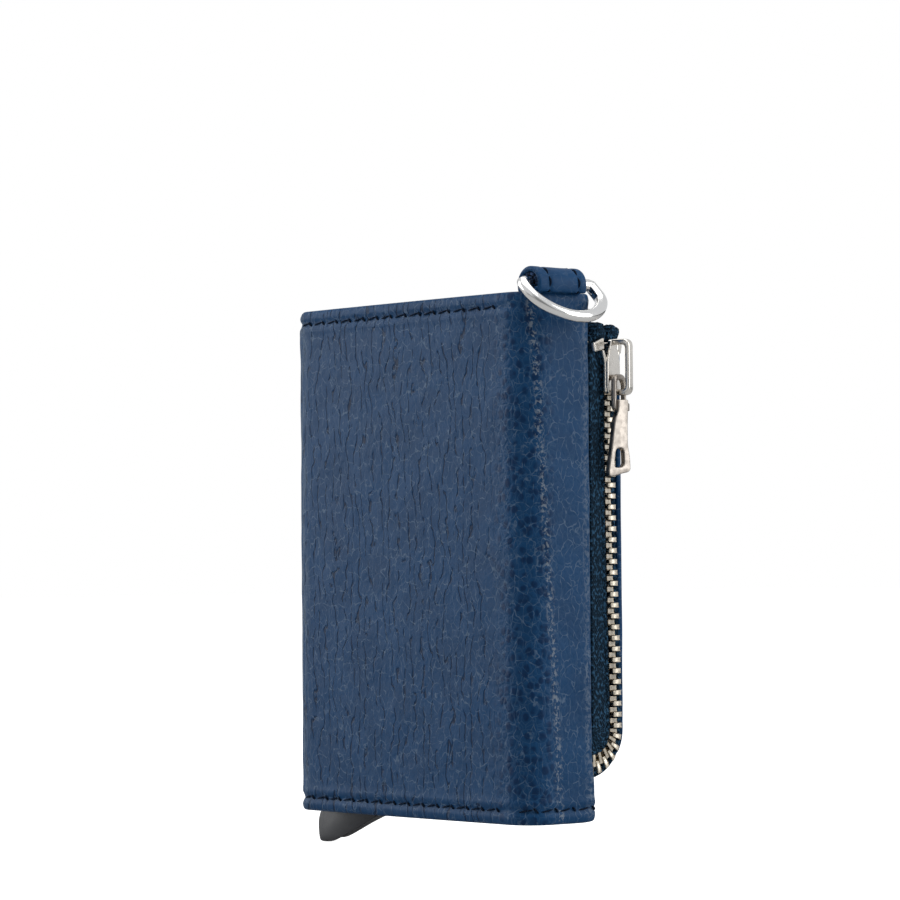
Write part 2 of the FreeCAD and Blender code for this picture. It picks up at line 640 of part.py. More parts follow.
slip = new_body("front_slip_pocket")
plate(slip, lining_back, f"{lining_back} + slip_thick", [
    ("slip_left", "slip_low"), ("slip_right", "slip_low"), ("slip_right", "slip_high"),
    ("slip_right - 18", "slip_high"), ("-3 + slip_dip", "slip_high - slip_dip"),
    ("-3 - slip_dip", "slip_high - slip_dip"), ("slip_left + 18", "slip_high"), ("slip_left", "slip_high"),
])

front_stitching = new_body("front_stitching", compound=True)
stitch_sketch = new_sketch(front_stitching, "XZ_Plane", "-(groove_deep - stitch_raise)")
for z in ("stitch_low", "stitch_high"):
    add_outline(stitch_sketch, slanted("front_stitch_start + stitch_long / 2", z))
front_stitch = extrude("Pad", front_stitching, stitch_sketch, "stitch_raise", backwards=True)
repeat_line(front_stitching, front_stitch, "X_Axis", "stitch_pitch", "front_stitch_count")

# ---- origin at the middle of the footprint, lowest point at zero ----------------------------------
doc.recompute()
extent = FreeCAD.BoundBox()
for node in nodes:
    extent.add(node.Shape.optimalBoundingBox())
shift = FreeCAD.Vector(
    -round(extent.Center.x, 2), -round(extent.Center.y, 2), -round(extent.ZMin, 2)
)
for node in nodes:
    node.Placement.Base = node.Placement.Base + shift
doc.recompute()
print("shift", shift, "extent", extent)

for item in doc.Objects:
    if "Invalid" in item.State or "Error" in item.State:
        raise RuntimeError(f"{item.Name} failed: {item.State}")
os.makedirs("parts", exist_ok=True)
for node in nodes:
    if node.Shape.isNull() or not node.Shape.isValid():
        raise RuntimeError(f"{node.Label} has no valid shape")
    print(f"{node.Label:22s} solids {len(node.Shape.Solids):3d}  volume {node.Shape.Volume:9.1f}")
    node.Shape.exportStep(f"parts/{node.Label}.step")
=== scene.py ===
"""Leather card holder: pebbled navy leather, metal card case, zipped coin pocket and hanging ring.

Drawn in the wallet's own axes, in millimetres: X along the width with the spine at +X, Y from the
front cover to the back, Z up from the lower edge of the leather. at() places a point in the frame.
"""
import math

import bmesh
import bpy
from mathutils import Matrix, Vector, noise


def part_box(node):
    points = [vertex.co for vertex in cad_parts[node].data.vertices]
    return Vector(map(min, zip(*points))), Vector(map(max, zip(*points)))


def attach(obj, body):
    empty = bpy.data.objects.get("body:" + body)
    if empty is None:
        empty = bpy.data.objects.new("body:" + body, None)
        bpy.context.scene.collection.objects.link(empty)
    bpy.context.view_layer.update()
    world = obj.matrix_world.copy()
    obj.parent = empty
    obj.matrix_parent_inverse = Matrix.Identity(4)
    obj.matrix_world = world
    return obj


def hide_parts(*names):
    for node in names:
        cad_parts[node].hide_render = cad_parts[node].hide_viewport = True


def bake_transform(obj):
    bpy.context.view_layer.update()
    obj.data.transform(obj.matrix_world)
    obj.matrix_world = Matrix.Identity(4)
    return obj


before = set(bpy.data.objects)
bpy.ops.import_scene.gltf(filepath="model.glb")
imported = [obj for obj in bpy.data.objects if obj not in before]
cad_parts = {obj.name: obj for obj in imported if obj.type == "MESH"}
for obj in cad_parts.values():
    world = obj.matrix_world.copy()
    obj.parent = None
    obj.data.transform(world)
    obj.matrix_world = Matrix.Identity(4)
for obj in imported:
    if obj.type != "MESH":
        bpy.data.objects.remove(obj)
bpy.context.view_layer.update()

low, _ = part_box("front_cover_leather")
ORIGIN = Vector((low[0] + 0.0335, low[1], low[2]))

# wallet: free edge, spine face, back face and height of the leather, its fold radii and thickness
LEFT, SPINE, BACK, TALL = -33.9, 33.5, 15.7, 96.0
FOLD, BACK_FOLD, THICK = 6.0, 0.9, 1.3
STITCH_LINES = (2.6, 93.4)
STITCH_PITCH = 4.2
# zip section: nip is outward from the tape, across runs over the chain
ZIP_X, ZIP_Y, TILT = 32.9, 15.95, math.radians(18)
TURN_ACROSS, TURN_Z, CHAIN = -0.45, 17.0, 7.15
TAPE_SPLIT, TAPE_BACK, TOP_LEAN = 4.9, 9.95, -1.5
TURN_RADIUS = CHAIN - TURN_ACROSS
POCKET_BASE, POCKET_DEEP = 15.6, 11.0
# ring and its tab
TAB_X, TAB_Z, TAB_SEAMS = 32.3, 97.25, (4.6, 11.5)
RING_Y, RING_Z, RING_HALF, RING_WIRE, RING_LEAN = 9.25, 97.6, 8.85, 1.15, math.radians(48)


def at(x, y, z):
    return ORIGIN + Vector((x, y, z)) * 0.001


def smooth(value, start, end):
    t = min(max((value - start) / (end - start), 0.0), 1.0)
    return t * t * (3 - 2 * t)


def wobble(x, y, z, scale, seed=0.0):
    """Smooth noise between about -1 and 1."""
    return noise.noise(Vector((x / scale + seed, y / scale - seed, z / scale)))


# ---- materials -----------------------------------------------------------------------------------
def new_material(name, colour, rough, metal=0.0, spec=0.5):
    """Material with its Principled shader; constants sit on the shader's own sockets."""
    material = bpy.data.materials.new(name)
    material.use_nodes = True
    tree = material.node_tree
    shader = tree.nodes["Principled BSDF"]
    shader.inputs["Base Color"].default_value = (*colour, 1)
    shader.inputs["Roughness"].default_value = rough
    shader.inputs["Metallic"].default_value = metal
    shader.inputs["Specular IOR Level"].default_value = spec
    return material, tree, shader


def add_node(tree, kind, inputs=None, **settings):
    node = tree.nodes.new(kind)
    for key, value in settings.items():
        setattr(node, key, value)
    for key, value in (inputs or {}).items():
        if isinstance(value, bpy.types.NodeSocket):
            tree.links.new(value, node.inputs[key])
        else:
            node.inputs[key].default_value = value
    return node


def math_node(tree, operation, first, second=0.0):
    return add_node(tree, "ShaderNodeMath", {0: first, 1: second}, operation=operation).outputs[0]


def product(tree, first, *others):
    """Product of two or more values."""
    for other in others:
        first = math_node(tree, "MULTIPLY", first, other)
    return first


def noise_map(tree, place, scale, detail=2.0, rough=0.5):
    inputs = {"Vector": place, "Scale": scale, "Detail": detail, "Roughness": rough}
    return add_node(tree, "ShaderNodeTexNoise", inputs).outputs["Fac"]


def ramp(tree, factor, start, end, low_value=0.0, high_value=1.0):
    """Smooth step of a value."""
    node = add_node(tree, "ShaderNodeMapRange", {
        "Value": factor, "From Min": start, "From Max": end, "To Min": low_value, "To Max": high_value,
    }, interpolation_type="SMOOTHSTEP")
    return node.outputs[0]


def mixed(tree, factor, first, second):
    node = add_node(tree, "ShaderNodeMix", data_type="RGBA")
    for index, value in ((0, factor), (6, first), (7, second)):
        if isinstance(value, bpy.types.NodeSocket):
            tree.links.new(value, node.inputs[index])
        else:
            node.inputs[index].default_value = value if index == 0 else (*value, 1)
    return node.outputs[2]


def bumped(tree, shader, layers):
    """Chain of bumps: each layer is height, strength and distance in metres."""
    normal = None
    for height, strength, distance in layers:
        inputs = {"Height": height, "Strength": strength, "Distance": distance}
        if normal is not None:
            inputs["Normal"] = normal
        normal = add_node(tree, "ShaderNodeBump", inputs).outputs[0]
    tree.links.new(normal, shader.inputs["Normal"])


def millimetres(tree, scale=(1, 1, 1), warp=0.0, warp_scale=0.3):
    """Surface coordinates in millimetres: along the leather, up it, and 0; optionally warped."""
    uv = add_node(tree, "ShaderNodeTexCoord").outputs["UV"]
    place = add_node(tree, "ShaderNodeMapping", {"Vector": uv, "Scale": (100, 100, 100)}).outputs[0]
    if warp:
        shake = add_node(tree, "ShaderNodeTexNoise", {"Vector": place, "Scale": warp_scale, "Detail": 2.0})
        centred = add_node(tree, "ShaderNodeVectorMath", {0: shake.outputs["Color"], 1: (0.5, 0.5, 0.5)},
                           operation="SUBTRACT").outputs[0]
        moved = add_node(tree, "ShaderNodeVectorMath", {0: centred, "Scale": warp}, operation="SCALE")
        place = add_node(tree, "ShaderNodeVectorMath", {0: place, 1: moved.outputs[0]}).outputs[0]
    return add_node(tree, "ShaderNodeMapping", {"Vector": place, "Scale": scale}).outputs[0]


def cells(tree, place, feature="DISTANCE_TO_EDGE"):
    inputs = {"Vector": place, "Scale": 1.0, "Randomness": 0.9}
    return add_node(tree, "ShaderNodeTexVoronoi", inputs, feature=feature).outputs["Distance"]


def leather_material(name, creased=1.0, depth=1.0, wide=0.36, tall=0.27, worn_lit_folds=False):
    """Tumbled calf: soft pebbles and upright creases, with painted shade in the creases and painted
    highlights on pale hairlines; the fold flag adds the knobs and wear of the folds and the painted light on
    them.
    """
    material, tree, shader = new_material(name, (0.006, 0.048, 0.130), 0.45, spec=0.135)
    place = millimetres(tree)
    run = add_node(tree, "ShaderNodeSeparateXYZ", {"Vector": place}).outputs["X"]
    broad = cells(tree, millimetres(tree, (wide, tall, 1), warp=2.0, warp_scale=0.25))
    fine = cells(tree, millimetres(tree, (wide * 2.2, tall * 2.2, 1), warp=1.0, warp_scale=0.6))
    grain = noise_map(tree, place, 2.6, 4.0, 0.6)
    # upright creases: wandering lines, broken along their length, bumped in and darkened with painted shade
    crease_gap = 2.4
    drift = noise_map(tree, millimetres(tree, (0.16, 0.07, 1)), 1.0, 3.0, 0.6)
    wander = math_node(tree, "ADD", product(tree, run, math.pi / crease_gap), product(tree, drift, 13.0))
    contour = math_node(tree, "ABSOLUTE", math_node(tree, "SINE", wander))
    patch = noise_map(tree, millimetres(tree, (0.5, 0.30, 1)), 1.0)
    on_flat = ramp(tree, run, 54.0, 61.0, creased, 0.0)
    line = ramp(tree, contour, 0.05, 0.36, 1.0, 0.0)
    crease = product(tree, line, ramp(tree, patch, 0.40, 0.52), on_flat)
    tone = noise_map(tree, place, 0.12, 3.0)
    hide = mixed(tree, ramp(tree, tone, 0.35, 0.65), (0.0052, 0.044, 0.122), (0.0070, 0.053, 0.144))
    # painted shade: the creases are darkened in the base colour
    colour = mixed(tree, product(tree, crease, 0.9), hide, (0.0010, 0.012, 0.040))
    # pale hairlines: painted highlight, thin glints where fine creases catch the light
    hair = cells(tree, millimetres(tree, (0.55, 0.33, 1), warp=2.4, warp_scale=0.3))
    sparse = noise_map(tree, place, 0.7, 3.0)
    shown = ramp(tree, sparse, 0.40, 0.60, 0.15, 0.3 + 0.6 * creased)
    glint = product(tree, ramp(tree, hair, 0.005, 0.05, 1.0, 0.0), shown)
    colour = mixed(tree, glint, colour, (0.085, 0.140, 0.225))
    layers = [
        (ramp(tree, broad, 0.0, 0.42), 0.35 * depth, 0.00010),
        (crease, 0.8 * depth, -0.00012),
        (ramp(tree, fine, 0.0, 0.35), 0.3 * depth, 0.00004),
        (grain, 0.2, 0.00004),
    ]
    if worn_lit_folds:
        colour, knob_height = fold_wear_and_painted_light(tree, place, sparse, colour)
        layers.append((knob_height, 0.5, 0.00010))
    tree.links.new(colour, shader.inputs["Base Color"])
    tree.links.new(ramp(tree, grain, 0.3, 0.7, 0.40, 0.50), shader.inputs["Roughness"])
    bumped(tree, shader, layers)
    return material


def fold_wear_and_painted_light(tree, place, sparse, colour):
    """Colour and knob height of the wrap: painted highlight on the bent free edge, knobs on the fold with
    painted shade in their hearts and painted highlight on their rims, a worn line on the fold and a painted
    highlight along the back fold edge.
    """
    split = add_node(tree, "ShaderNodeSeparateXYZ", {"Vector": place})
    run, rise = split.outputs["X"], split.outputs["Y"]
    streak = noise_map(tree, millimetres(tree, (1.6, 0.12, 1)), 1.0, 3.0)
    # painted highlight: the rolled free front edge is paled in streaks
    edge_highlight = product(tree, ramp(tree, run, 0.4, 4.5, 0.75, 0.0), ramp(tree, streak, 0.38, 0.62),
                   ramp(tree, run, -1.0, 0.2))
    colour = mixed(tree, edge_highlight, colour, (0.12, 0.17, 0.235))
    # rounded knobs on the fold: painted shade darkens their hearts and painted highlight pales their rims,
    # fainter past the fold
    begun = ramp(tree, run, 57.0, 61.5)
    fold = product(tree, begun, ramp(tree, run, 72.5, 69.5))
    grown = product(tree, begun, ramp(tree, run, 70.0, 73.5, 1.0, 0.45))
    knob_place = millimetres(tree, (0.62, 0.52, 1), warp=1.3, warp_scale=0.35)
    knob, round_knob = cells(tree, knob_place), cells(tree, knob_place, "F1")
    knob_shade = product(tree, ramp(tree, round_knob, 0.30, 0.50, 1.0, 0.0),
                    ramp(tree, sparse, 0.36, 0.5, 0.45, 1.0), fold, 0.9)
    colour = mixed(tree, knob_shade, colour, (0.0010, 0.021, 0.072))
    rim = product(tree, ramp(tree, knob, 0.0, 0.05, 0.32, 0.0), grown)
    colour = mixed(tree, rim, colour, (0.06, 0.12, 0.21))
    # the worn line leans from one face of the fold to the other on its way up
    drift = noise_map(tree, millimetres(tree, (0.0, 1, 1)), 0.06)
    middle = math_node(tree, "ADD", product(tree, drift, 1.6), 71.9)
    middle = math_node(tree, "SUBTRACT", middle, product(tree, rise, 0.058))
    away = math_node(tree, "ABSOLUTE", math_node(tree, "SUBTRACT", run, middle))
    speck = noise_map(tree, millimetres(tree, (1.0, 0.75, 1), warp=1.0, warp_scale=0.8), 1.5, 3.0, 0.62)
    worn = product(tree, ramp(tree, away, 0.15, 1.3, 1.0, 0.0), ramp(tree, speck, 0.505, 0.60), 0.6)
    colour = mixed(tree, worn, colour, (0.27, 0.31, 0.35))
    # painted highlight: a speckled pale line along the back fold edge
    edge = math_node(tree, "ABSOLUTE", math_node(tree, "SUBTRACT", run, 79.6))
    back_edge_highlight = product(tree, ramp(tree, edge, 0.2, 1.8, 1.0, 0.0), ramp(tree, speck, 0.44, 0.62), 0.6)
    colour = mixed(tree, back_edge_highlight, colour, (0.15, 0.20, 0.27))
    return colour, product(tree, ramp(tree, knob, 0.0, 0.25), grown)


def cloth_material(name, colour, pitch=0.5, rough=0.9, flecked=1.0):
    """Woven cloth: crossed ribs with painted shade in the gaps between them and uneven bright yarns."""
    material, tree, shader = new_material(name, colour, rough, spec=0.08)
    place = millimetres(tree, (1 / pitch, 1 / pitch, 1), warp=0.25, warp_scale=1.2)
    split = add_node(tree, "ShaderNodeSeparateXYZ", {"Vector": place})
    across = math_node(tree, "SINE", product(tree, split.outputs["X"], math.tau))
    along = math_node(tree, "SINE", product(tree, split.outputs["Y"], math.tau))
    weave = product(tree, across, along)
    flecks = noise_map(tree, place, 1.0, 4.0)
    bright = tuple(min(1, c * (1 + 1.9 * flecked) + 0.003) for c in colour)
    # painted shade: the gaps between the ribs are darkened
    gap_shade_colour = tuple(c * 0.18 for c in colour)
    thread = mixed(tree, ramp(tree, weave, -0.6, 0.8), gap_shade_colour, colour)
    tree.links.new(mixed(tree, ramp(tree, flecks, 0.48, 0.66), thread, bright), shader.inputs["Base Color"])
    bumped(tree, shader, [(weave, 0.6, 0.00009), (flecks, 0.6, 0.00014)])
    return material


def metal_material(name, colour, rough, brushed=0.0):
    """Plated metal with faint wear in its polish."""
    material, tree, shader = new_material(name, colour, rough, metal=1.0)
    place = add_node(tree, "ShaderNodeTexCoord").outputs["Object"]
    stretch = add_node(tree, "ShaderNodeMapping", {"Vector": place, "Scale": (1, 1, 0.06 if brushed else 1)})
    patches = noise_map(tree, stretch.outputs[0], 900.0, 4.0)
    worn = ramp(tree, patches, 0.3, 0.75, rough * 0.75, rough * 1.5 + 0.02)
    tree.links.new(worn, shader.inputs["Roughness"])
    bumped(tree, shader, [(patches, 0.12 + brushed, 0.00002)])
    return material


def plastic_material(name, colour, rough=0.5):
    """Moulded plastic with a fine spark-eroded texture."""
    material, tree, shader = new_material(name, colour, rough, spec=0.5)
    place = add_node(tree, "ShaderNodeTexCoord").outputs["Object"]
    grit = noise_map(tree, place, 5200.0, 3.0)
    cast = noise_map(tree, place, 160.0)
    lighter = tuple(c * 1.25 for c in colour)
    tree.links.new(mixed(tree, cast, colour, lighter), shader.inputs["Base Color"])
    tree.links.new(ramp(tree, grit, 0.3, 0.7, rough - 0.06, rough + 0.08), shader.inputs["Roughness"])
    bumped(tree, shader, [(grit, 0.25, 0.00003)])
    return material


LEATHER = leather_material("leather_wrap", worn_lit_folds=True)
LEATHER_POCKET = leather_material("leather_pocket")
LEATHER_FINE = leather_material("leather_small", creased=0.0, depth=0.3, wide=0.7, tall=0.7)
LINING = cloth_material("lining_cloth", (0.014, 0.028, 0.062), pitch=0.7)
TAPE = cloth_material("zip_tape_weave", (0.0095, 0.029, 0.054), pitch=0.75, flecked=1.3)
THREAD = cloth_material("sewing_thread", (0.004, 0.013, 0.034), pitch=0.35, rough=0.7, flecked=0.6)
CHROME = metal_material("ring_chrome", (0.87, 0.86, 0.84), 0.13)
NICKEL = metal_material("zip_nickel", (0.80, 0.76, 0.70), 0.2)
TAG = metal_material("puller_nickel", (0.36, 0.325, 0.29), 0.33)
TOOTH = metal_material("tooth_nickel", (0.83, 0.75, 0.62), 0.26)
ALUMINIUM = metal_material("case_aluminium", (0.58, 0.6, 0.62), 0.32, brushed=0.04)
STEEL = metal_material("pin_steel", (0.6, 0.6, 0.61), 0.25)
PLASTIC = plastic_material("case_plastic", (0.036, 0.038, 0.043), 0.46)


# ---- mesh helpers --------------------------------------------------------------------------------
def finish_piece(piece, material, body, nodes=(), ends=None):
    """Material, slot and the body that a piece moves with; with ends the piece is baked in place and joins no
    body.
    """
    piece.data.materials.clear()
    piece.data.materials.append(material)
    if nodes:
        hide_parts(*nodes)
    if ends:
        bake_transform(piece)
    else:
        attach(piece, body)
    return piece


def make_mesh(name, points, faces, uvs=None):
    mesh = bpy.data.meshes.new(name)
    mesh.from_pydata([at(*p) for p in points], [], faces)
    if uvs:
        layer = mesh.uv_layers.new(name="UVMap")
        for loop in mesh.loops:
            layer.data[loop.index].uv = (uvs[loop.vertex_index][0] / 100, uvs[loop.vertex_index][1] / 100)
    mesh.shade_smooth()
    mesh.update()
    piece = bpy.data.objects.new(name, mesh)
    bpy.context.scene.collection.objects.link(piece)
    return piece


def spread(start, end, step, rim):
    """Values from start to end, closer together over the first and last rim millimetres."""
    edge = [rim * (1 - math.cos(math.pi / 2 * i / 5)) for i in range(5)]
    count = max(2, round((end - start - 2 * rim) / step))
    inner = [start + rim + (end - start - 2 * rim) * i / count for i in range(count + 1)]
    return [start + e for e in edge] + inner + [end - e for e in reversed(edge)]


def sheet_piece(name, path, run, rise, thick, step=0.9, corners=(0, 0, 0, 0), relief=None,
                rolled=(1, 1, 1, 1)):
    """Closed leather or cloth sheet with rolled edges.

    path(s, z) gives a point on the outer face and its normal. corners are the radii at low left, low
    right, high left and high right. rolled says which edges are rounded: left, right, low, high.
    """
    rim = thick / 2
    columns, rows = spread(*run, step, rim), spread(*rise, step, rim)
    points, uvs = [], []

    def rounded(s, z):
        for radius, s_edge, z_edge in zip(corners, (run[0], run[1]) * 2, (rise[0],) * 2 + (rise[1],) * 2):
            if not radius:
                continue
            s_mid = s_edge + math.copysign(radius, (run[0] + run[1]) / 2 - s_edge)
            z_mid = z_edge + math.copysign(radius, (rise[0] + rise[1]) / 2 - z_edge)
            a, b = s - s_mid, z - z_mid
            if a * (s_edge - s_mid) > 0 and b * (z_edge - z_mid) > 0:
                longest, size = max(abs(a), abs(b)), math.hypot(a, b)
                return s_mid + a * longest / size, z_mid + b * longest / size
        return s, z

    for side in (0, 1):
        for s in columns:
            for z in rows:
                gaps = [s - run[0], run[1] - s, z - rise[0], rise[1] - z]
                near = min([g for g, use in zip(gaps, rolled) if use] + [rim])
                roll = rim - math.sqrt(max(0.0, rim * rim - (rim - near) ** 2))
                s_at, z_at = rounded(s, z)
                point, normal = path(s_at, z_at)
                lift = relief(s_at, z_at) if relief and side == 0 else 0.0
                depth = lift - roll if side == 0 else roll - thick
                points.append(Vector(point) + Vector(normal) * depth)
                uvs.append((s_at, z_at))
    high, offset = len(rows), len(columns) * len(rows)
    faces = []
    for i in range(len(columns) - 1):
        for j in range(high - 1):
            a, b = i * high + j, (i + 1) * high + j
            faces.append((a, b, b + 1, a + 1))
            faces.append((offset + a + 1, offset + b + 1, offset + b, offset + a))
    for j in range(high - 1):
        for i, flip in ((0, False), (len(columns) - 1, True)):
            a = i * high + j
            quad = (a, a + 1, offset + a + 1, offset + a)
            faces.append(quad[::-1] if flip else quad)
    for i in range(len(columns) - 1):
        for j, flip in ((0, True), (high - 1, False)):
            a, b = i * high + j, (i + 1) * high + j
            quad = (a, b, offset + b, offset + a)
            faces.append(quad[::-1] if flip else quad)
    piece = make_mesh(name, points, faces, uvs)
    welded = bmesh.new()
    welded.from_mesh(piece.data)
    bmesh.ops.remove_doubles(welded, verts=welded.verts, dist=1e-7)
    bmesh.ops.recalc_face_normals(welded, faces=welded.faces)
    welded.to_mesh(piece.data)
    welded.free()
    piece.data.shade_smooth()
    return piece


def flat_path(y, facing):
    """Plane at one Y; s is X."""
    return lambda s, z: ((s, y, z), (0, facing, 0))


def tube_piece(name, path, radius, closed=False, sides=20, squash=1.0):
    """Round bar along points, with parallel-carried sections; squash flattens it."""
    path = [Vector(p) for p in path]
    count = len(path)
    points, uvs, faces = [], [], []
    side_way = None
    run = 0.0
    for i, point in enumerate(path):
        before = path[(i - 1) % count] if closed or i else path[0]
        after = path[(i + 1) % count] if closed or i < count - 1 else path[-1]
        along = (after - before).normalized()
        if side_way is None:
            side_way = along.orthogonal().normalized()
        side_way = (side_way - along * side_way.dot(along)).normalized()
        other = along.cross(side_way)
        reach = radius(i / (count - 1)) if callable(radius) else radius
        run += (point - path[i - 1]).length if i else 0.0
        for k in range(sides):
            turn = math.tau * k / sides
            points.append(point + side_way * math.cos(turn) * reach + other * math.sin(turn) * reach * squash)
            uvs.append((reach * turn, run))
    for i in range(count if closed else count - 1):
        for k in range(sides):
            a, b = i * sides + k, i * sides + (k + 1) % sides
            c, d = (i + 1) % count * sides + k, (i + 1) % count * sides + (k + 1) % sides
            faces.append((a, b, d, c))
    if not closed:
        faces.append(tuple(range(sides))[::-1])
        faces.append(tuple((count - 1) * sides + k for k in range(sides)))
    return make_mesh(name, points, faces, uvs)


def curved(points, samples=6, closed=True):
    """Smooth outline through points (Catmull-Rom)."""
    count, out = len(points), []
    for i in range(count if closed else count - 1):
        p0, p1, p2, p3 = (Vector(points[(i + k - 1) % count] if closed
                                 else points[min(max(i + k - 1, 0), count - 1)]) for k in range(4))
        for k in range(samples):
            t = k / samples
            out.append(0.5 * (2 * p1 + (p2 - p0) * t + (2 * p0 - 5 * p1 + 4 * p2 - p3) * t * t
                              + (3 * p1 - p0 - 3 * p2 + p3) * t ** 3))
    if not closed:
        out.append(Vector(points[-1]))
    return out


def rounded_outline(points, radius, samples=5):
    """Polygon with each corner rounded; radius is one value or one for each corner."""
    out, count = [], len(points)
    for i, corner in enumerate(points):
        reach = radius[i] if isinstance(radius, (list, tuple)) else radius
        corner = Vector(corner)
        before = (Vector(points[i - 1]) - corner)
        after = (Vector(points[(i + 1) % count]) - corner)
        cut = min(reach, before.length * 0.45, after.length * 0.45)
        a, b = corner + before.normalized() * cut, corner + after.normalized() * cut
        if cut < 1e-4:
            out.append(corner)
            continue
        for k in range(samples + 1):
            t = k / samples
            out.append(a * (1 - t) ** 2 + corner * 2 * t * (1 - t) + b * t * t)
    return out


def cut_profile(name, outline, holes, depth, place, bevel=0.2):
    """Plate with a 2-D outline and holes, depth thick, edges rounded; place maps its axes."""
    curve = bpy.data.curves.new(name, "CURVE")
    curve.dimensions = "2D"
    curve.fill_mode = "BOTH"
    curve.extrude = depth / 2 - bevel
    curve.bevel_depth = bevel
    curve.bevel_resolution = 3
    curve.offset = -bevel
    for loop in [outline] + list(holes):
        spline = curve.splines.new("POLY")
        spline.points.add(len(loop) - 1)
        for point, (x, y) in zip(spline.points, loop):
            point.co = (x, y, 0, 1)
        spline.use_cyclic_u = True
    maker = bpy.data.objects.new(name + "_maker", curve)
    bpy.context.scene.collection.objects.link(maker)
    bpy.context.view_layer.update()
    mesh = bpy.data.meshes.new_from_object(maker.evaluated_get(bpy.context.evaluated_depsgraph_get()))
    bpy.data.objects.remove(maker)
    piece = bpy.data.objects.new(name, mesh)
    bpy.context.scene.collection.objects.link(piece)
    for vertex in mesh.vertices:
        vertex.co = at(*place(vertex.co.x, vertex.co.y, vertex.co.z))
    tidy = bmesh.new()
    tidy.from_mesh(mesh)
    bmesh.ops.remove_doubles(tidy, verts=tidy.verts, dist=1e-7)
    bmesh.ops.recalc_face_normals(tidy, faces=tidy.faces)
    tidy.to_mesh(mesh)
    tidy.free()
    mesh.shade_smooth()
    mesh.set_sharp_from_angle(angle=math.radians(42))
    return piece


def join_pieces(name, pieces):
    """One object from several."""
    mesh = bpy.data.meshes.new(name)
    whole = bmesh.new()
    for piece in pieces:
        whole.from_mesh(piece.data)
    whole.to_mesh(mesh)
    whole.free()
    for piece in pieces:
        bpy.data.objects.remove(piece)
    piece = bpy.data.objects.new(name, mesh)
    bpy.context.scene.collection.objects.link(piece)
    return piece


# ---- leather wrap: one hide round front, spine and back ------------------------------------------
RUN_FRONT = SPINE - FOLD - LEFT
RUN_FOLD = RUN_FRONT + FOLD * math.pi / 2
RUN_SPINE = RUN_FOLD + BACK - FOLD - BACK_FOLD
RUN_BACK_FOLD = RUN_SPINE + BACK_FOLD * math.pi / 2
RUN_END = RUN_BACK_FOLD + SPINE - BACK_FOLD - LEFT
SEAM = RUN_FOLD + 3.0


def wrap_path(s, z):
    """Outer face of the wrapped hide, s millimetres from the free front edge."""
    edge = RUN_SPINE + 0.7
    z += 0.2 * math.exp(-((s - edge) / 1.3) ** 2) * (1 - smooth(z, 0, 3.0))
    flare = 0.6 * math.exp(-((s - edge) / 2.0) ** 2) * (1 - smooth(z, 6, 13))
    notch = smooth(s, RUN_SPINE + 1.2, RUN_SPINE + 2.6) * (1 - smooth(s, RUN_SPINE + 3.2, RUN_SPINE + 12))
    z -= 7.0 * notch * smooth(z, 70, 96)
    if s < RUN_FRONT:
        bow = 0.35 * math.sin(math.pi * min(max(s / RUN_FRONT, 0), 1))
        waist = sum(math.exp(-((z - line) / 1.0) ** 2) for line in STITCH_LINES)
        swell = 0.25 * math.exp(-((z - 89.3) / 2.6) ** 2)
        turned = 0.6 * (1 - min(max(s, 0) / 2.8, 1)) ** 2
        return (LEFT + s + (0.5 * waist - swell) * (1 - smooth(s, 0, 3)), turned - bow, z), (0, -1, 0)
    if s < RUN_FOLD:
        turn = (s - RUN_FRONT) / FOLD
        way = (math.sin(turn), -math.cos(turn))
        return (SPINE - FOLD + FOLD * way[0], FOLD + FOLD * way[1], z), (way[0], way[1], 0)
    if s < RUN_SPINE:
        return (SPINE, FOLD + s - RUN_FOLD + flare, z), (1, 0, 0)
    if s < RUN_BACK_FOLD:
        turn = (s - RUN_SPINE) / BACK_FOLD
        way = (math.cos(turn), math.sin(turn))
        x, y = SPINE - BACK_FOLD + BACK_FOLD * way[0], BACK - BACK_FOLD + BACK_FOLD * way[1]
        return (x, y + flare, z), (*way, 0)
    return (SPINE - BACK_FOLD - (s - RUN_BACK_FOLD), BACK + flare, z), (0, 1, 0)


def wrap_relief(s, z):
    """Soft handling marks and the puckered seam lines, in millimetres."""
    lift = 0.10 * wobble(s, z, 0, 9.0, 3.1) + 0.05 * wobble(s, z, 0, 3.0, 7.7)
    lift += 0.09 * wobble(s, z / 7, 0, 1.0, 11.0) * (1 - smooth(s, 2.5, 6.0))
    for line in STITCH_LINES:
        away = abs(z - line)
        if away < 2.2:
            pucker = 0.75 + 0.25 * math.cos(math.tau * (s - 2.5) / STITCH_PITCH)
            if line > 50:
                pucker *= 1 - smooth(s, 63.5, 66.0)
            lift -= 0.42 * pucker * math.exp(-(away / 0.42) ** 2)
            lift += 0.16 * math.exp(-((away - 1.15) / 0.6) ** 2)
    return lift


def wrap_row(name, first, last, body, node, corners, rolled, ends=None):
    piece = sheet_piece(name, wrap_path, (first, last), (0, TALL), THICK, 0.6, corners, wrap_relief, rolled)
    finish_piece(piece, LEATHER, body, node, ends)


wrap_row(
    "cover_wrap", 0, SEAM, ("cover", "spine"), ("front_cover_leather",), (1.1, 0, 2.2, 0), (1, 0, 1, 1),
    ends=(tuple(at(25.6, 0.6, 48)), tuple(at(29.4, 0.6, 48))),
)
wrap_row(
    "back_wrap", SEAM, RUN_END, ("spine", "back"), ("back_cover_leather", "spine_leather"), (0, 2.4, 0, 2.4),
    (0, 1, 1, 1), ends=(tuple(at(32.9, 12.2, 48)), tuple(at(32.4, 15.4, 48))),
)


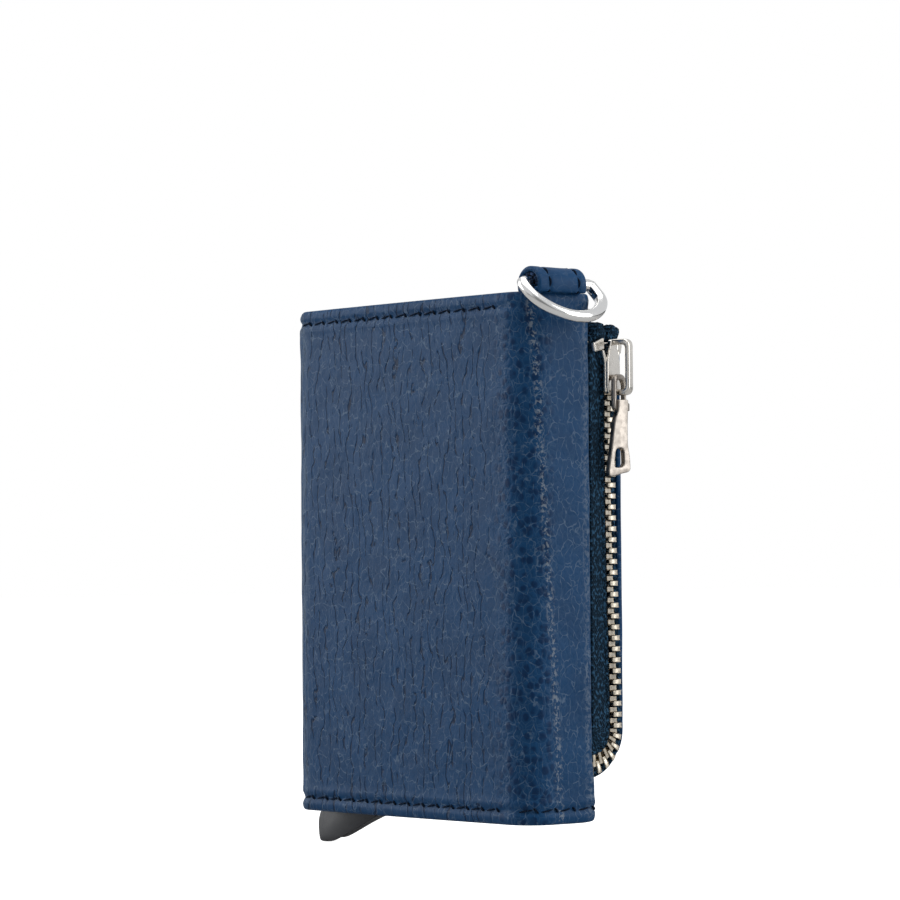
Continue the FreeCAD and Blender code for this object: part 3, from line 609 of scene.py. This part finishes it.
# ---- stitching -----------------------------------------------------------------------------------
def thread_run(path, first, last, rise, radius, sunk=0.36, slim=0.5):
    """Thread over the hide between two surface points, bowed out in the middle.

    sunk is how deep its ends lie, and slim the share of the radius that is left at them.
    """
    line = []
    for k in range(9):
        t = k / 8
        point, normal = path(first[0] + (last[0] - first[0]) * t, first[1] + (last[1] - first[1]) * t)
        line.append(Vector(point) + Vector(normal) * (rise * math.sin(math.pi * t) - sunk))
    return tube_piece("stitch", line, lambda t: radius * (slim + (1 - slim) * math.sin(math.pi * t)), sides=8)


def stitch(s, z, path, length=3.0, slant=0.28):
    """Shallow slanted stitch with the short steep bight at its end."""
    run = thread_run(path, (s - length / 2, z - slant), (s + length / 2, z + slant), 0.32, 0.15)
    tip = s + length / 2
    bight = thread_run(path, (tip - 0.1, z + slant + 0.3), (tip + 0.95, z - slant - 0.2), 0.42, 0.22)
    return join_pieces("stitch", [run, bight])


def stitch_row(name, spots, body, nodes, path):
    pieces = [stitch(s, z, path) for s, z in spots]
    finish_piece(join_pieces(name, pieces), THREAD, body, nodes)


def wrap_spots(first, last):
    """Stitch places along both seam lines."""
    count = int((last - first) / STITCH_PITCH)
    return [(first + (i + 0.5) * STITCH_PITCH, line) for line in STITCH_LINES for i in range(count + 1)
            if first + (i + 0.5) * STITCH_PITCH < last]


stitch_row("front_thread", wrap_spots(0.25, 58.0), "cover", ("front_stitching",), wrap_path)
spine_spots = [spot for spot in wrap_spots(63.25, RUN_SPINE) if spot[1] < 50 or spot[0] < 64]
stitch_row("spine_thread", spine_spots, "spine", ("spine_stitching",), wrap_path)


# ---- inner faces ---------------------------------------------------------------------------------
def soft_relief(depth, scale, seed):
    return lambda s, z: depth * wobble(s, z, 0, scale, seed)


panel = sheet_piece("cover_lining", flat_path(THICK + 0.6, 1), (-32.3, 26.4), (1.2, 94.8), 0.58, 1.6,
                    (2, 0, 2, 0), soft_relief(0.05, 12, 1.0))
finish_piece(panel, LINING, "cover", ("front_cover_lining",))


def slip_path(s, z):
    """Slip pocket whose mouth dips in the middle."""
    dip = 7.0 * math.exp(-((s + 3) / 9.0) ** 2) * smooth(z, 30, 76)
    return (s, 3.0, z - dip), (0, 1, 0)


panel = sheet_piece("slip_pocket", slip_path, (-31.5, 25.5), (1.8, 76), 1.05, 1.2, (2, 2, 1, 1),
                    soft_relief(0.06, 10, 4.0))
finish_piece(panel, LEATHER_FINE, "cover", ("front_slip_pocket",))
panel = sheet_piece("back_lining", flat_path(12.9, -1), (-32.3, 30.8), (1.2, 94.8), 1.2, 1.6, (2, 2, 2, 5),
                    soft_relief(0.05, 12, 2.0))
finish_piece(panel, LINING, "back", ("back_cover_lining",))
panel = sheet_piece("spine_cloth", lambda s, z: ((31.55, s, z), (-1, 0, 0)), (6.6, 12.9), (1.2, 86.3),
                    0.58, 1.2)
finish_piece(panel, LINING, "spine", ("spine_lining",))


# ---- coin pocket ---------------------------------------------------------------------------------
def pocket_depth(x, z):
    """How far the pocket stands out from the back cover."""
    shut = 1 - smooth(x, 4.0, 15.0)
    low_slope = 1 - shut * (1 - smooth(z, 3.8, 12.0))
    return POCKET_DEEP * smooth(x, -33.5, -20.0) * (1 - smooth(z, 86.0, 95.6)) * low_slope


def pocket_path(s, z):
    """s and z run over the pocket's own outline; its zip edges lean in as it deepens."""
    reach = pocket_depth(s, z)
    x = s - 0.235 * reach * smooth(s, 10, 32.4)
    z_at = z + 0.30 * reach * (1 - smooth(z, 4.6, 34))
    near = 0.05
    slope_x = (pocket_depth(s + near, z) - pocket_depth(s - near, z)) / (2 * near)
    slope_z = (pocket_depth(s, z + near) - pocket_depth(s, z - near)) / (2 * near)
    return (x, POCKET_BASE + reach, z_at), Vector((-slope_x, 1, -slope_z)).normalized()


def pocket_relief(s, z):
    lift = 0.12 * wobble(s, z, 0, 10, 5.0)
    for line, centre in ((s, 30.4), (z, 6.6)):
        lift -= 0.3 * math.exp(-((line - centre) / 0.4) ** 2)
    return lift


panel = sheet_piece("pocket_leather", pocket_path, (-32.5, 32.4), (4.6, 95.0), 1.2, 0.8, (3, 9.5, 3, 9),
                    pocket_relief)
finish_piece(panel, LEATHER_POCKET, "back", ("coin_pocket_panel",))
panel = sheet_piece("pocket_cloth", flat_path(24.9, -1), (-23.0, 24.5), (10.6, 86.0), 0.38, 1.8, (4, 5, 4, 4),
                    soft_relief(0.05, 9, 6.0))
finish_piece(panel, LINING, "back", ("coin_pocket_lining",))
pocket_seam, upright_length = 30.4, 2.3
threads = [
    thread_run(pocket_path, (pocket_seam, z - upright_length / 2), (pocket_seam, z + upright_length / 2),
               0.3, 0.24, 0.32, 0.55)
    for z in (12.0 + 3.2 * i for i in range(24))
]
threads += [stitch(-20 + STITCH_PITCH * i, 84.5, pocket_path) for i in range(11)]
finish_piece(join_pieces("pocket_thread", threads), THREAD, "back", ("pocket_stitching",))


# ---- zip -----------------------------------------------------------------------------------------
BEND = TURN_RADIUS * math.radians(96)
ZIP_TOP, TOOTH_PITCH = -71.6, 2.0


def zip_point(nip, across, along):
    """Point on the zip: along is 0 where it starts to curve in its own plane, negative above that."""
    z = TURN_Z - along
    if along > 0:
        turn, reach = along / TURN_RADIUS, across - TURN_ACROSS
        across, z = TURN_ACROSS + reach * math.cos(turn), TURN_Z - 0.88 * reach * math.sin(turn)
        nip -= 0.9 * smooth(along, BEND * 0.35, BEND)
    else:
        across += TOP_LEAN * smooth(z, 18, 60) * min(max(across / CHAIN, 0), 1)
    return Vector((ZIP_X + nip * math.cos(TILT) - across * math.sin(TILT),
                   ZIP_Y + nip * math.sin(TILT) + across * math.cos(TILT), z))


def tape_path(s, z):
    """Tape face: s runs across, z down along the zip."""
    nip = 0.25 + 0.10 * wobble(s, z, 0, 5.0, 9.0)
    point = zip_point(nip, s, z)
    return point, (zip_point(nip + 0.1, s, z) - point).normalized()


for name, span, node in (
    ("front_tape", (-0.1, TAPE_SPLIT), "zip_tape_front"), ("rear_tape", (9.4, TAPE_BACK), "zip_tape_rear"),
):
    panel = sheet_piece(name, tape_path, span, (ZIP_TOP, BEND), 0.5, 0.55)
    finish_piece(panel, TAPE, "back", (node,))

for name, across in (("front_cord", TAPE_SPLIT + 0.22), ("rear_cord", 9.18)):
    line = [zip_point(0.0, across, -70.0 + (BEND + 70.0) * i / 170) for i in range(171)]
    finish_piece(tube_piece(name, line, 0.58, sides=12), TAPE, "back")


def tooth_mesh(near, far, along):
    """One stamped tooth: clamp round the cord, narrower head that meets the other row."""
    loops, corner = [], 0.09
    sections = [(near, 0.82, 0.36), (near, 0.95, 0.43), (near + (far - near) * 0.5, 0.95, 0.43),
                (near + (far - near) * 0.56, 0.88, 0.42), (far, 0.88, 0.41), (far, 0.78, 0.33)]
    ease = 0.1 if far > near else -0.1
    for index, (across, nip, half) in enumerate(sections):
        shift = ease if index == 0 else (-ease if index == len(sections) - 2 else 0.0)
        ring = []
        for a, b in ((-1, -1), (1, -1), (1, 1), (-1, 1)):
            for da, db in (((1, 0), (0, 1)) if a * b > 0 else ((0, 1), (1, 0))):
                ring.append((a * (nip - corner * da), b * (half - corner * db)))
        loops.append([zip_point(n, across + shift, along + w) for n, w in ring])
    points = [p for loop in loops for p in loop]
    count = len(loops[0])
    faces = [tuple(range(count))[::-1], tuple((len(loops) - 1) * count + k for k in range(count))]
    for i in range(len(loops) - 1):
        for k in range(count):
            a, b = i * count + k, i * count + (k + 1) % count
            faces.append((a, b, b + count, a + count))
    return points, faces


def teeth_row(name, near, far, start, node):
    points, faces = [], []
    along = start
    while along < BEND - 0.3:
        tooth, sides = tooth_mesh(near, far, along)
        faces += [tuple(i + len(points) for i in side) for side in sides]
        points += tooth
        along += TOOTH_PITCH
    piece = make_mesh(name, points, faces)
    repair = bmesh.new()
    repair.from_mesh(piece.data)
    bmesh.ops.recalc_face_normals(repair, faces=repair.faces)
    repair.to_mesh(piece.data)
    repair.free()
    piece.data.shade_smooth()
    piece.data.set_sharp_from_angle(angle=math.radians(35))
    finish_piece(piece, TOOTH, "back", (node,))


teeth_row("front_teeth", CHAIN - 2.05, CHAIN + 0.5, -67.2, "zip_teeth_front")
teeth_row("rear_teeth", CHAIN + 2.05, CHAIN - 0.5, -68.25, "zip_teeth_rear")


def tape_tail(name, across, height, seed):
    """Folded tape end: a crumpled knuckle of tape above the slider."""
    points, uvs, faces = [], [], []
    rings, sides = 22, 32
    for i in range(rings + 1):
        lat = math.pi * (i / rings - 0.5)
        for k in range(sides):
            lon = math.tau * k / sides
            a, b, c = math.cos(lat) * math.cos(lon), math.cos(lat) * math.sin(lon), math.sin(lat)
            soft = [math.copysign(abs(v) ** 0.72, v) for v in (a, b, c)]
            grow = 1 + 0.25 * wobble(a, b, c, 0.75, seed) + 0.14 * wobble(a, b, c, 0.2, seed)
            nip, side, up = soft[0] * 1.5 * grow, soft[1] * 1.95 * grow, soft[2] * 1.6 * grow
            x = ZIP_X + nip * math.cos(TILT) - (across + side) * math.sin(TILT)
            y = ZIP_Y + nip * math.sin(TILT) + (across + side) * math.cos(TILT)
            points.append((x, y, height + up))
            uvs.append((k * 0.4, i * 0.35))
    for i in range(rings):
        for k in range(sides):
            a, b = i * sides + k, i * sides + (k + 1) % sides
            faces.append((a, b, b + sides, a + sides))
    return make_mesh(name, points, faces, uvs)


tails = join_pieces("tape_tails", [
    tape_tail("tail", 2.3, 89.2, 2.0), tape_tail("tail", 7.2, 89.0, 5.0)])
finish_piece(tails, TAPE, "back", ("zip_tape_ends",))


# ---- slider and puller ---------------------------------------------------------------------------
def zip_axes(nip, across, z):
    """Straight zip axes: outward, across, up."""
    across += TOP_LEAN
    return (
        ZIP_X + nip * math.cos(TILT) - across * math.sin(TILT),
        ZIP_Y + nip * math.sin(TILT) + across * math.cos(TILT),
        z,
    )


def mirrored(half):
    """Symmetric outline about the chain from its right half, listed upwards."""
    return [(CHAIN + a, b) for a, b in half] + [(CHAIN - a, b) for a, b in reversed(half)]


face = rounded_outline(mirrored([(1.7, 77.8), (2.25, 79.0), (2.25, 83.6), (1.4, 86.2), (0.8, 88.0)]), 0.7)
under = rounded_outline(mirrored([
    (2.0, 77.8), (2.7, 79.0), (2.7, 83.6), (3.6, 86.2), (3.4, 87.8), (1.6, 87.4)]), 0.8)
wedge = rounded_outline([(-0.8, 85.4), (0.8, 85.4), (0.6, 87.4), (-0.6, 87.4)], 0.3)
parts = [
    cut_profile("wing", face, [], 0.85, lambda a, b, c: zip_axes(1.6 + c, a, b)),
    cut_profile("wing", under, [], 0.85, lambda a, b, c: zip_axes(-1.6 + c, a, b)),
    cut_profile("wedge", wedge, [], 2.0, lambda a, b, c: zip_axes(c * 1.3, CHAIN + a, b), 0.15),
]
for side in (-1, 1):
    for level in (-1, 1):
        rail = rounded_outline([
            (1.7, 78.2), (2.4, 78.2), (2.4, 83.6), (3.2, 85.8), (2.6, 85.8), (1.7, 83.8)], 0.2)
        parts.append(cut_profile(
            "rail", [(side * a, b) for a, b in rail], [], 0.5,
            lambda a, b, c, level=level: zip_axes(level * (1.28 + c), CHAIN + a, b), 0.12,
        ))
    reach = 6.1 if side < 0 else 4.2
    ear = rounded_outline([(2.3, 86.0), (reach - 0.5, 85.4), (reach, 87.0), (2.5, 88.3)], 0.25)
    parts.append(cut_profile("ear", [(side * a, b) for a, b in ear], [], 0.75,
                             lambda a, b, c: zip_axes(1.0 + c, CHAIN + a, b), 0.2))
finish_piece(join_pieces("slider_shell", parts), NICKEL, "slider", ("slider_body",))

arch_out = rounded_outline([(1.9, 77.6), (5.6, 77.6), (5.6, 87.95), (1.9, 87.95)], [0.1, 1.5, 1.5, 0.1], 8)
arch_in = rounded_outline([(1.9, 78.7), (4.65, 78.7), (4.65, 86.9), (1.9, 86.9)], [0.0, 0.8, 0.8, 0.0], 6)
arch = [tuple(p) for p in arch_out] + [tuple(p) for p in reversed(arch_in)]
piece = cut_profile("slider_arch", arch, [], 1.7, lambda a, b, c: zip_axes(a, CHAIN + c, b), 0.3)
finish_piece(piece, NICKEL, "slider", ("slider_bridge",))

SWING = math.radians(20)


def tag_axes(a, b, c):
    """The hanging tag faces a little more to the front than the zip does."""
    return zip_axes(3.6 + c * math.cos(SWING) + a * math.sin(SWING),
                    CHAIN - 0.9 + a * math.cos(SWING) - c * math.sin(SWING), b + 0.6)


tag = rounded_outline([
    (-0.6, 76.2), (-0.65, 74.3), (-1.5, 72.4), (-1.75, 71.0), (-2.2, 67.9), (-3.1, 62.9), (-2.9, 62.1),
    (-1.6, 62.2), (0.2, 62.7), (1.5, 62.9), (2.1, 63.4), (2.0, 65.6), (1.5, 67.9), (1.5, 71.5), (1.7, 76.2),
], [0.4, 0.8, 0.8, 0.8, 1.0, 0.5, 0.4, 0.8, 0.8, 0.6, 0.6, 0.8, 1.0, 1.0, 0.4])
tag_hole = rounded_outline([(-1.85, 63.7), (0.65, 63.9), (0.5, 67.3), (-1.3, 67.3)], 0.9)
eye = rounded_outline([(-2.2, 74.6), (2.2, 74.6), (2.0, 81.5), (-2.0, 81.5)], 1.7, 8)
eye_hole = rounded_outline([(-1.45, 75.6), (1.45, 75.6), (1.3, 80.45), (-1.3, 80.45)], 1.1, 8)
knuckle = rounded_outline([(-0.5, 74.7), (1.6, 74.7), (1.6, 76.2), (-0.5, 76.2)], 0.3)
parts = [
    cut_profile("tag", tag, [tag_hole], 1.15, tag_axes, 0.2),
    cut_profile("eye", eye, [eye_hole], 1.0, lambda a, b, c: zip_axes(2.9 + c, CHAIN + a, b), 0.3),
    cut_profile("knuckle", knuckle, [], 1.9, lambda a, b, c: zip_axes(3.4 + c, CHAIN + a, b), 0.2),
]
finish_piece(join_pieces("puller_tag", parts), TAG, "puller", ("zip_puller",))


# ---- ring and its tab ----------------------------------------------------------------------------
def ring_point(out, y):
    return (TAB_X + out * math.cos(RING_LEAN), RING_Y + y, RING_Z - out * math.sin(RING_LEAN))


hoop = []
for k in range(97):
    turn = math.pi * k / 96 - math.pi / 2
    swell = abs(math.cos(turn)) ** 0.95
    pinch = 1 - (0.13 if turn > 0 else 0.02) * (1 - smooth(swell, 0.0, 0.55))
    hoop.append(ring_point(0.3 + (RING_HALF - 0.75) * swell, RING_HALF * math.sin(turn) * pinch))
leg = [ring_point(0.0, RING_HALF * (0.8 - 1.7 * k / 30)) for k in range(31)]
piece = tube_piece("hoop", hoop + leg, RING_WIRE, closed=True, sides=28)
finish_piece(piece, CHROME, "ring", ("d_ring",))


def tab_loop(reach, low_end):
    """Side view of the tab as X, Z points: up one leg, round the ring, down the other."""
    outline = [(31.25, low_end), (31.2, 93.4), (30.6, 95.2)]
    for k in range(13):
        turn = math.radians(206 - 232 * k / 12)
        outline.append((TAB_X + reach * math.cos(turn), TAB_Z + reach * math.sin(turn)))
    outline += [(33.9, 95.9), (32.3, 95.0), (31.95, 93.4), (31.95, low_end)]
    return curved(outline, 6, closed=False)


def strip_piece(name, centre, width, thick, relief=0.0):
    """Leather strip swept along Y round a side-view line, with rolled edges."""
    lengths = [0.0]
    for a, b in zip(centre, centre[1:]):
        lengths.append(lengths[-1] + (b - a).length)
    total = lengths[-1]

    def path(s, y):
        s = min(max(s, 0.0), total - 1e-6)
        i = max(k for k in range(len(lengths) - 1) if lengths[k] <= s)
        t = (s - lengths[i]) / (lengths[i + 1] - lengths[i])
        point = centre[i].lerp(centre[i + 1], t)
        way_a = (centre[min(i + 1, len(centre) - 1)] - centre[max(i - 1, 0)]).normalized()
        way_b = (centre[min(i + 2, len(centre) - 1)] - centre[i]).normalized()
        way = way_a.lerp(way_b, t).normalized()
        return (point.x, y, point.y), (-way.y, 0, way.x)

    def lift(s, y):
        level = relief * wobble(s, y, 0, 3.0, 8.0)
        for line in TAB_SEAMS:
            level -= 0.3 * math.exp(-((y - line) / 0.3) ** 2)
        return level

    piece = sheet_piece(name, path, (0, total), width, thick, 0.3, relief=lift if relief else None)
    return piece, path, total


tab_skin, tab_path, tab_total = strip_piece("tab_skin", tab_loop(3.25, 87.0), (2.0, 13.4), 0.95, relief=0.06)
finish_piece(tab_skin, LEATHER_FINE, "spine", ("tab_leather",))
arc = [Vector((TAB_X + 2.2 * math.cos(math.radians(a)), TAB_Z + 2.2 * math.sin(math.radians(a))))
       for a in range(222, -46, -4)]
tab_inner, _, _ = strip_piece("tab_inner", arc, (2.15, 13.25), 0.62)
finish_piece(tab_inner, LINING, "spine", ("tab_lining",))


tab_spots = [tab_total * (0.40 + 0.045 * i) + 1.12 * (i - 3) for i in range(7)]
threads = [
    thread_run(tab_path, (s - 1.0, y), (s + 1.0, y), 0.24, 0.21, 0.3) for s in tab_spots for y in TAB_SEAMS
]
finish_piece(join_pieces("tab_thread", threads), THREAD, "spine", ("tab_stitching",))


# ---- card lever ----------------------------------------------------------------------------------
def lever_piece():
    """Thumb lever: flat front face, a wide bevel under it and a hooked tip."""
    front = [(-31.9, 0.6), (-33.2, -0.6), (-33.8, -2.4), (-33.7, -4.6), (-33.3, -5.9), (-32.2, -6.2),
             (-29.3, -6.0), (-26.0, -4.9), (-22.2, -3.4), (-18.8, -1.9), (-16.0, -0.4), (-18.0, 1.4),
             (-24.0, 2.8), (-29.0, 3.6)]
    rear = [(-35.6, 0.2), (-36.1, -1.4), (-36.3, -3.4), (-36.3, -5.0), (-36.1, -5.8), (-35.0, -5.95),
            (-32.9, -5.3), (-30.3, -4.3), (-26.2, -2.6), (-22.4, -1.2), (-18.4, 0.1), (-19.0, 1.4),
            (-24.0, 2.8), (-31.0, 3.6)]
    loops = []
    for y, share, grow in ((4.3, 0.0, -0.22), (4.36, 0.0, -0.08), (4.55, 0.02, 0.0), (6.0, 0.3, 0.04),
                           (7.6, 0.66, 0.05), (9.2, 1.0, 0.0), (11.6, 1.0, 0.0), (12.1, 1.0, -0.1),
                           (12.2, 1.0, -0.35)):
        outline = [Vector(a).lerp(Vector(b), share) for a, b in zip(front, rear)]
        middle = sum(outline, Vector((0, 0))) / len(outline)
        outline = [p + (p - middle).normalized() * grow for p in outline]
        loops.append([(p.x, y, p.y) for p in curved(outline, 4)])
    points = [p for loop in loops for p in loop]
    count = len(loops[0])
    faces = [tuple(range(count)), tuple((len(loops) - 1) * count + k for k in range(count))[::-1]]
    for i in range(len(loops) - 1):
        for k in range(count):
            a, b = i * count + k, i * count + (k + 1) % count
            faces.append((a, a + count, b + count, b))
    piece = make_mesh("lever_thumb", points, faces)
    piece.data.set_sharp_from_angle(angle=math.radians(50))
    arm = rounded_outline([
        (-31.0, 2.2), (-27.0, -1.0), (-14.0, 0.4), (-12.2, 2.5), (12.0, 2.7), (12.0, 4.4), (2.0, 4.3),
        (-8.0, 3.9), (-22.0, 4.6), (-25.7, 8.6), (-26.4, 11.0), (-28.3, 11.6), (-30.2, 11.0), (-30.9, 9.0),
    ], 0.9)
    turns = [math.tau * k / 24 for k in range(24)]
    bore = [(-28.3 + 0.95 * math.cos(turn), 9.0 + 0.95 * math.sin(turn)) for turn in turns]
    web = cut_profile("lever_arm", arm, [bore], 3.9, lambda a, b, c: (a, 8.25 + c, b), 0.2)
    return join_pieces("lever_whole", [piece, web])


finish_piece(lever_piece(), PLASTIC, "lever", ("card_lever",))


# ---- CAD pieces that keep their own shape --------------------------------------------------------
for node, material, bevel in (
    ("card_case_shell", ALUMINIUM, 0.22), ("case_bottom_cap", PLASTIC, 0.2), ("lever_pin", STEEL, 0.1),
):
    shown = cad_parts[node]
    for slot_index in range(len(shown.material_slots)):
        shown.material_slots[slot_index].material = material
    edge = shown.modifiers.new("edge", "BEVEL")
    edge.width = bevel * 0.001
    edge.segments = 3
    edge.limit_method = "ANGLE"
    edge.angle_limit = math.radians(40)

# ---- stage, light and camera ---------------------------------------------------------------------
floor_mesh = bpy.data.meshes.new("floor")
floor_mesh.from_pydata([(-6, -6, 0), (6, -6, 0), (6, 6, 0), (-6, 6, 0)], [], [(0, 1, 2, 3)])
floor = bpy.data.objects.new("floor", floor_mesh)
bpy.context.scene.collection.objects.link(floor)
pale, pale_tree, pale_shader = new_material("pale_floor", (0.6, 0.6, 0.6), 0.9, spec=0.0)
glow = add_node(pale_tree, "ShaderNodeLightPath").outputs["Is Camera Ray"]
pale_tree.links.new(glow, pale_shader.inputs["Emission Strength"])
pale_shader.inputs["Emission Color"].default_value = (1, 1, 1, 1)
floor_mesh.materials.append(pale)

world = bpy.data.worlds.new("studio")
bpy.context.scene.world = world
world.use_nodes = True
sky = world.node_tree
backdrop = sky.nodes["Background"]
backdrop.inputs["Color"].default_value = (1, 1, 1, 1)
backdrop.inputs["Strength"].default_value = 1.0
rays = add_node(sky, "ShaderNodeLightPath")
aside = add_node(sky, "ShaderNodeTexCoord").outputs["Generated"]
aside = add_node(sky, "ShaderNodeVectorMath", {0: aside, 1: (0.77, -0.637, 0.0)}, operation="DOT_PRODUCT")
bright = ramp(sky, aside.outputs["Value"], 0.80, 0.97, 0.5, 0.05)
soft = math_node(sky, "ADD", product(sky, rays.outputs["Is Glossy Ray"], bright), 0.19)
dim = add_node(sky, "ShaderNodeBackground", {"Color": (0.95, 0.97, 1.0, 1), "Strength": soft})
blend = add_node(sky, "ShaderNodeMixShader", {0: rays.outputs["Is Camera Ray"]})
sky.links.new(dim.outputs[0], blend.inputs[1])
sky.links.new(backdrop.outputs[0], blend.inputs[2])
sky.links.new(blend.outputs[0], sky.nodes["World Output"].inputs["Surface"])


def softbox(name, place, aim, wide, tall, power):
    """Rectangular studio light, placed and aimed in wallet millimetres."""
    data = bpy.data.lights.new(name, "AREA")
    data.shape = "RECTANGLE"
    data.size, data.size_y = wide, tall
    data.energy = power
    light = bpy.data.objects.new(name, data)
    bpy.context.scene.collection.objects.link(light)
    light.location = at(*place)
    light.rotation_mode = "QUATERNION"
    light.rotation_quaternion = (at(*aim) - at(*place)).to_track_quat("-Z", "Y")


softbox("left_box", (-780, -600, 160), (0, 0, 50), wide=0.75, tall=1.1, power=7.0)
softbox("right_box", (700, 480, 180), (20, 8, 50), wide=0.6, tall=1.1, power=5.3)
softbox("top_box", (100, -150, 800), (0, 8, 50), wide=0.9, tall=0.9, power=4.0)

# camera distance in wallet millimetres; focal length and picture side in the same unit
DISTANCE, FOCUS, PICTURE_SIDE, SENSOR = 681.322, 3636.56, 900, 36
AZIMUTH, ELEVATION, ROLL = math.radians(50.406), math.radians(-1.896), math.radians(0.446)
back = Vector((math.sin(AZIMUTH) * math.cos(ELEVATION), -math.cos(AZIMUTH) * math.cos(ELEVATION),
               math.sin(ELEVATION)))
right = Vector((math.cos(AZIMUTH), math.sin(AZIMUTH), 0))
up = back.cross(right)
target = Vector((0, 8, 48)) + right * 1.65 + up * 20.41
lens_data = bpy.data.cameras.new("camera")
lens_data.lens = SENSOR * FOCUS / PICTURE_SIDE
lens_data.clip_start = 0.01
camera = bpy.data.objects.new("camera", lens_data)
bpy.context.scene.collection.objects.link(camera)
bpy.context.scene.camera = camera
level = right * math.cos(ROLL) - up * math.sin(ROLL)
upright = right * math.sin(ROLL) + up * math.cos(ROLL)
camera.matrix_world = Matrix.Translation(at(*(target + back * DISTANCE))) @ Matrix(
    (level, upright, back)).transposed().to_4x4()
bpy.context.scene.view_settings.view_transform = "Standard"
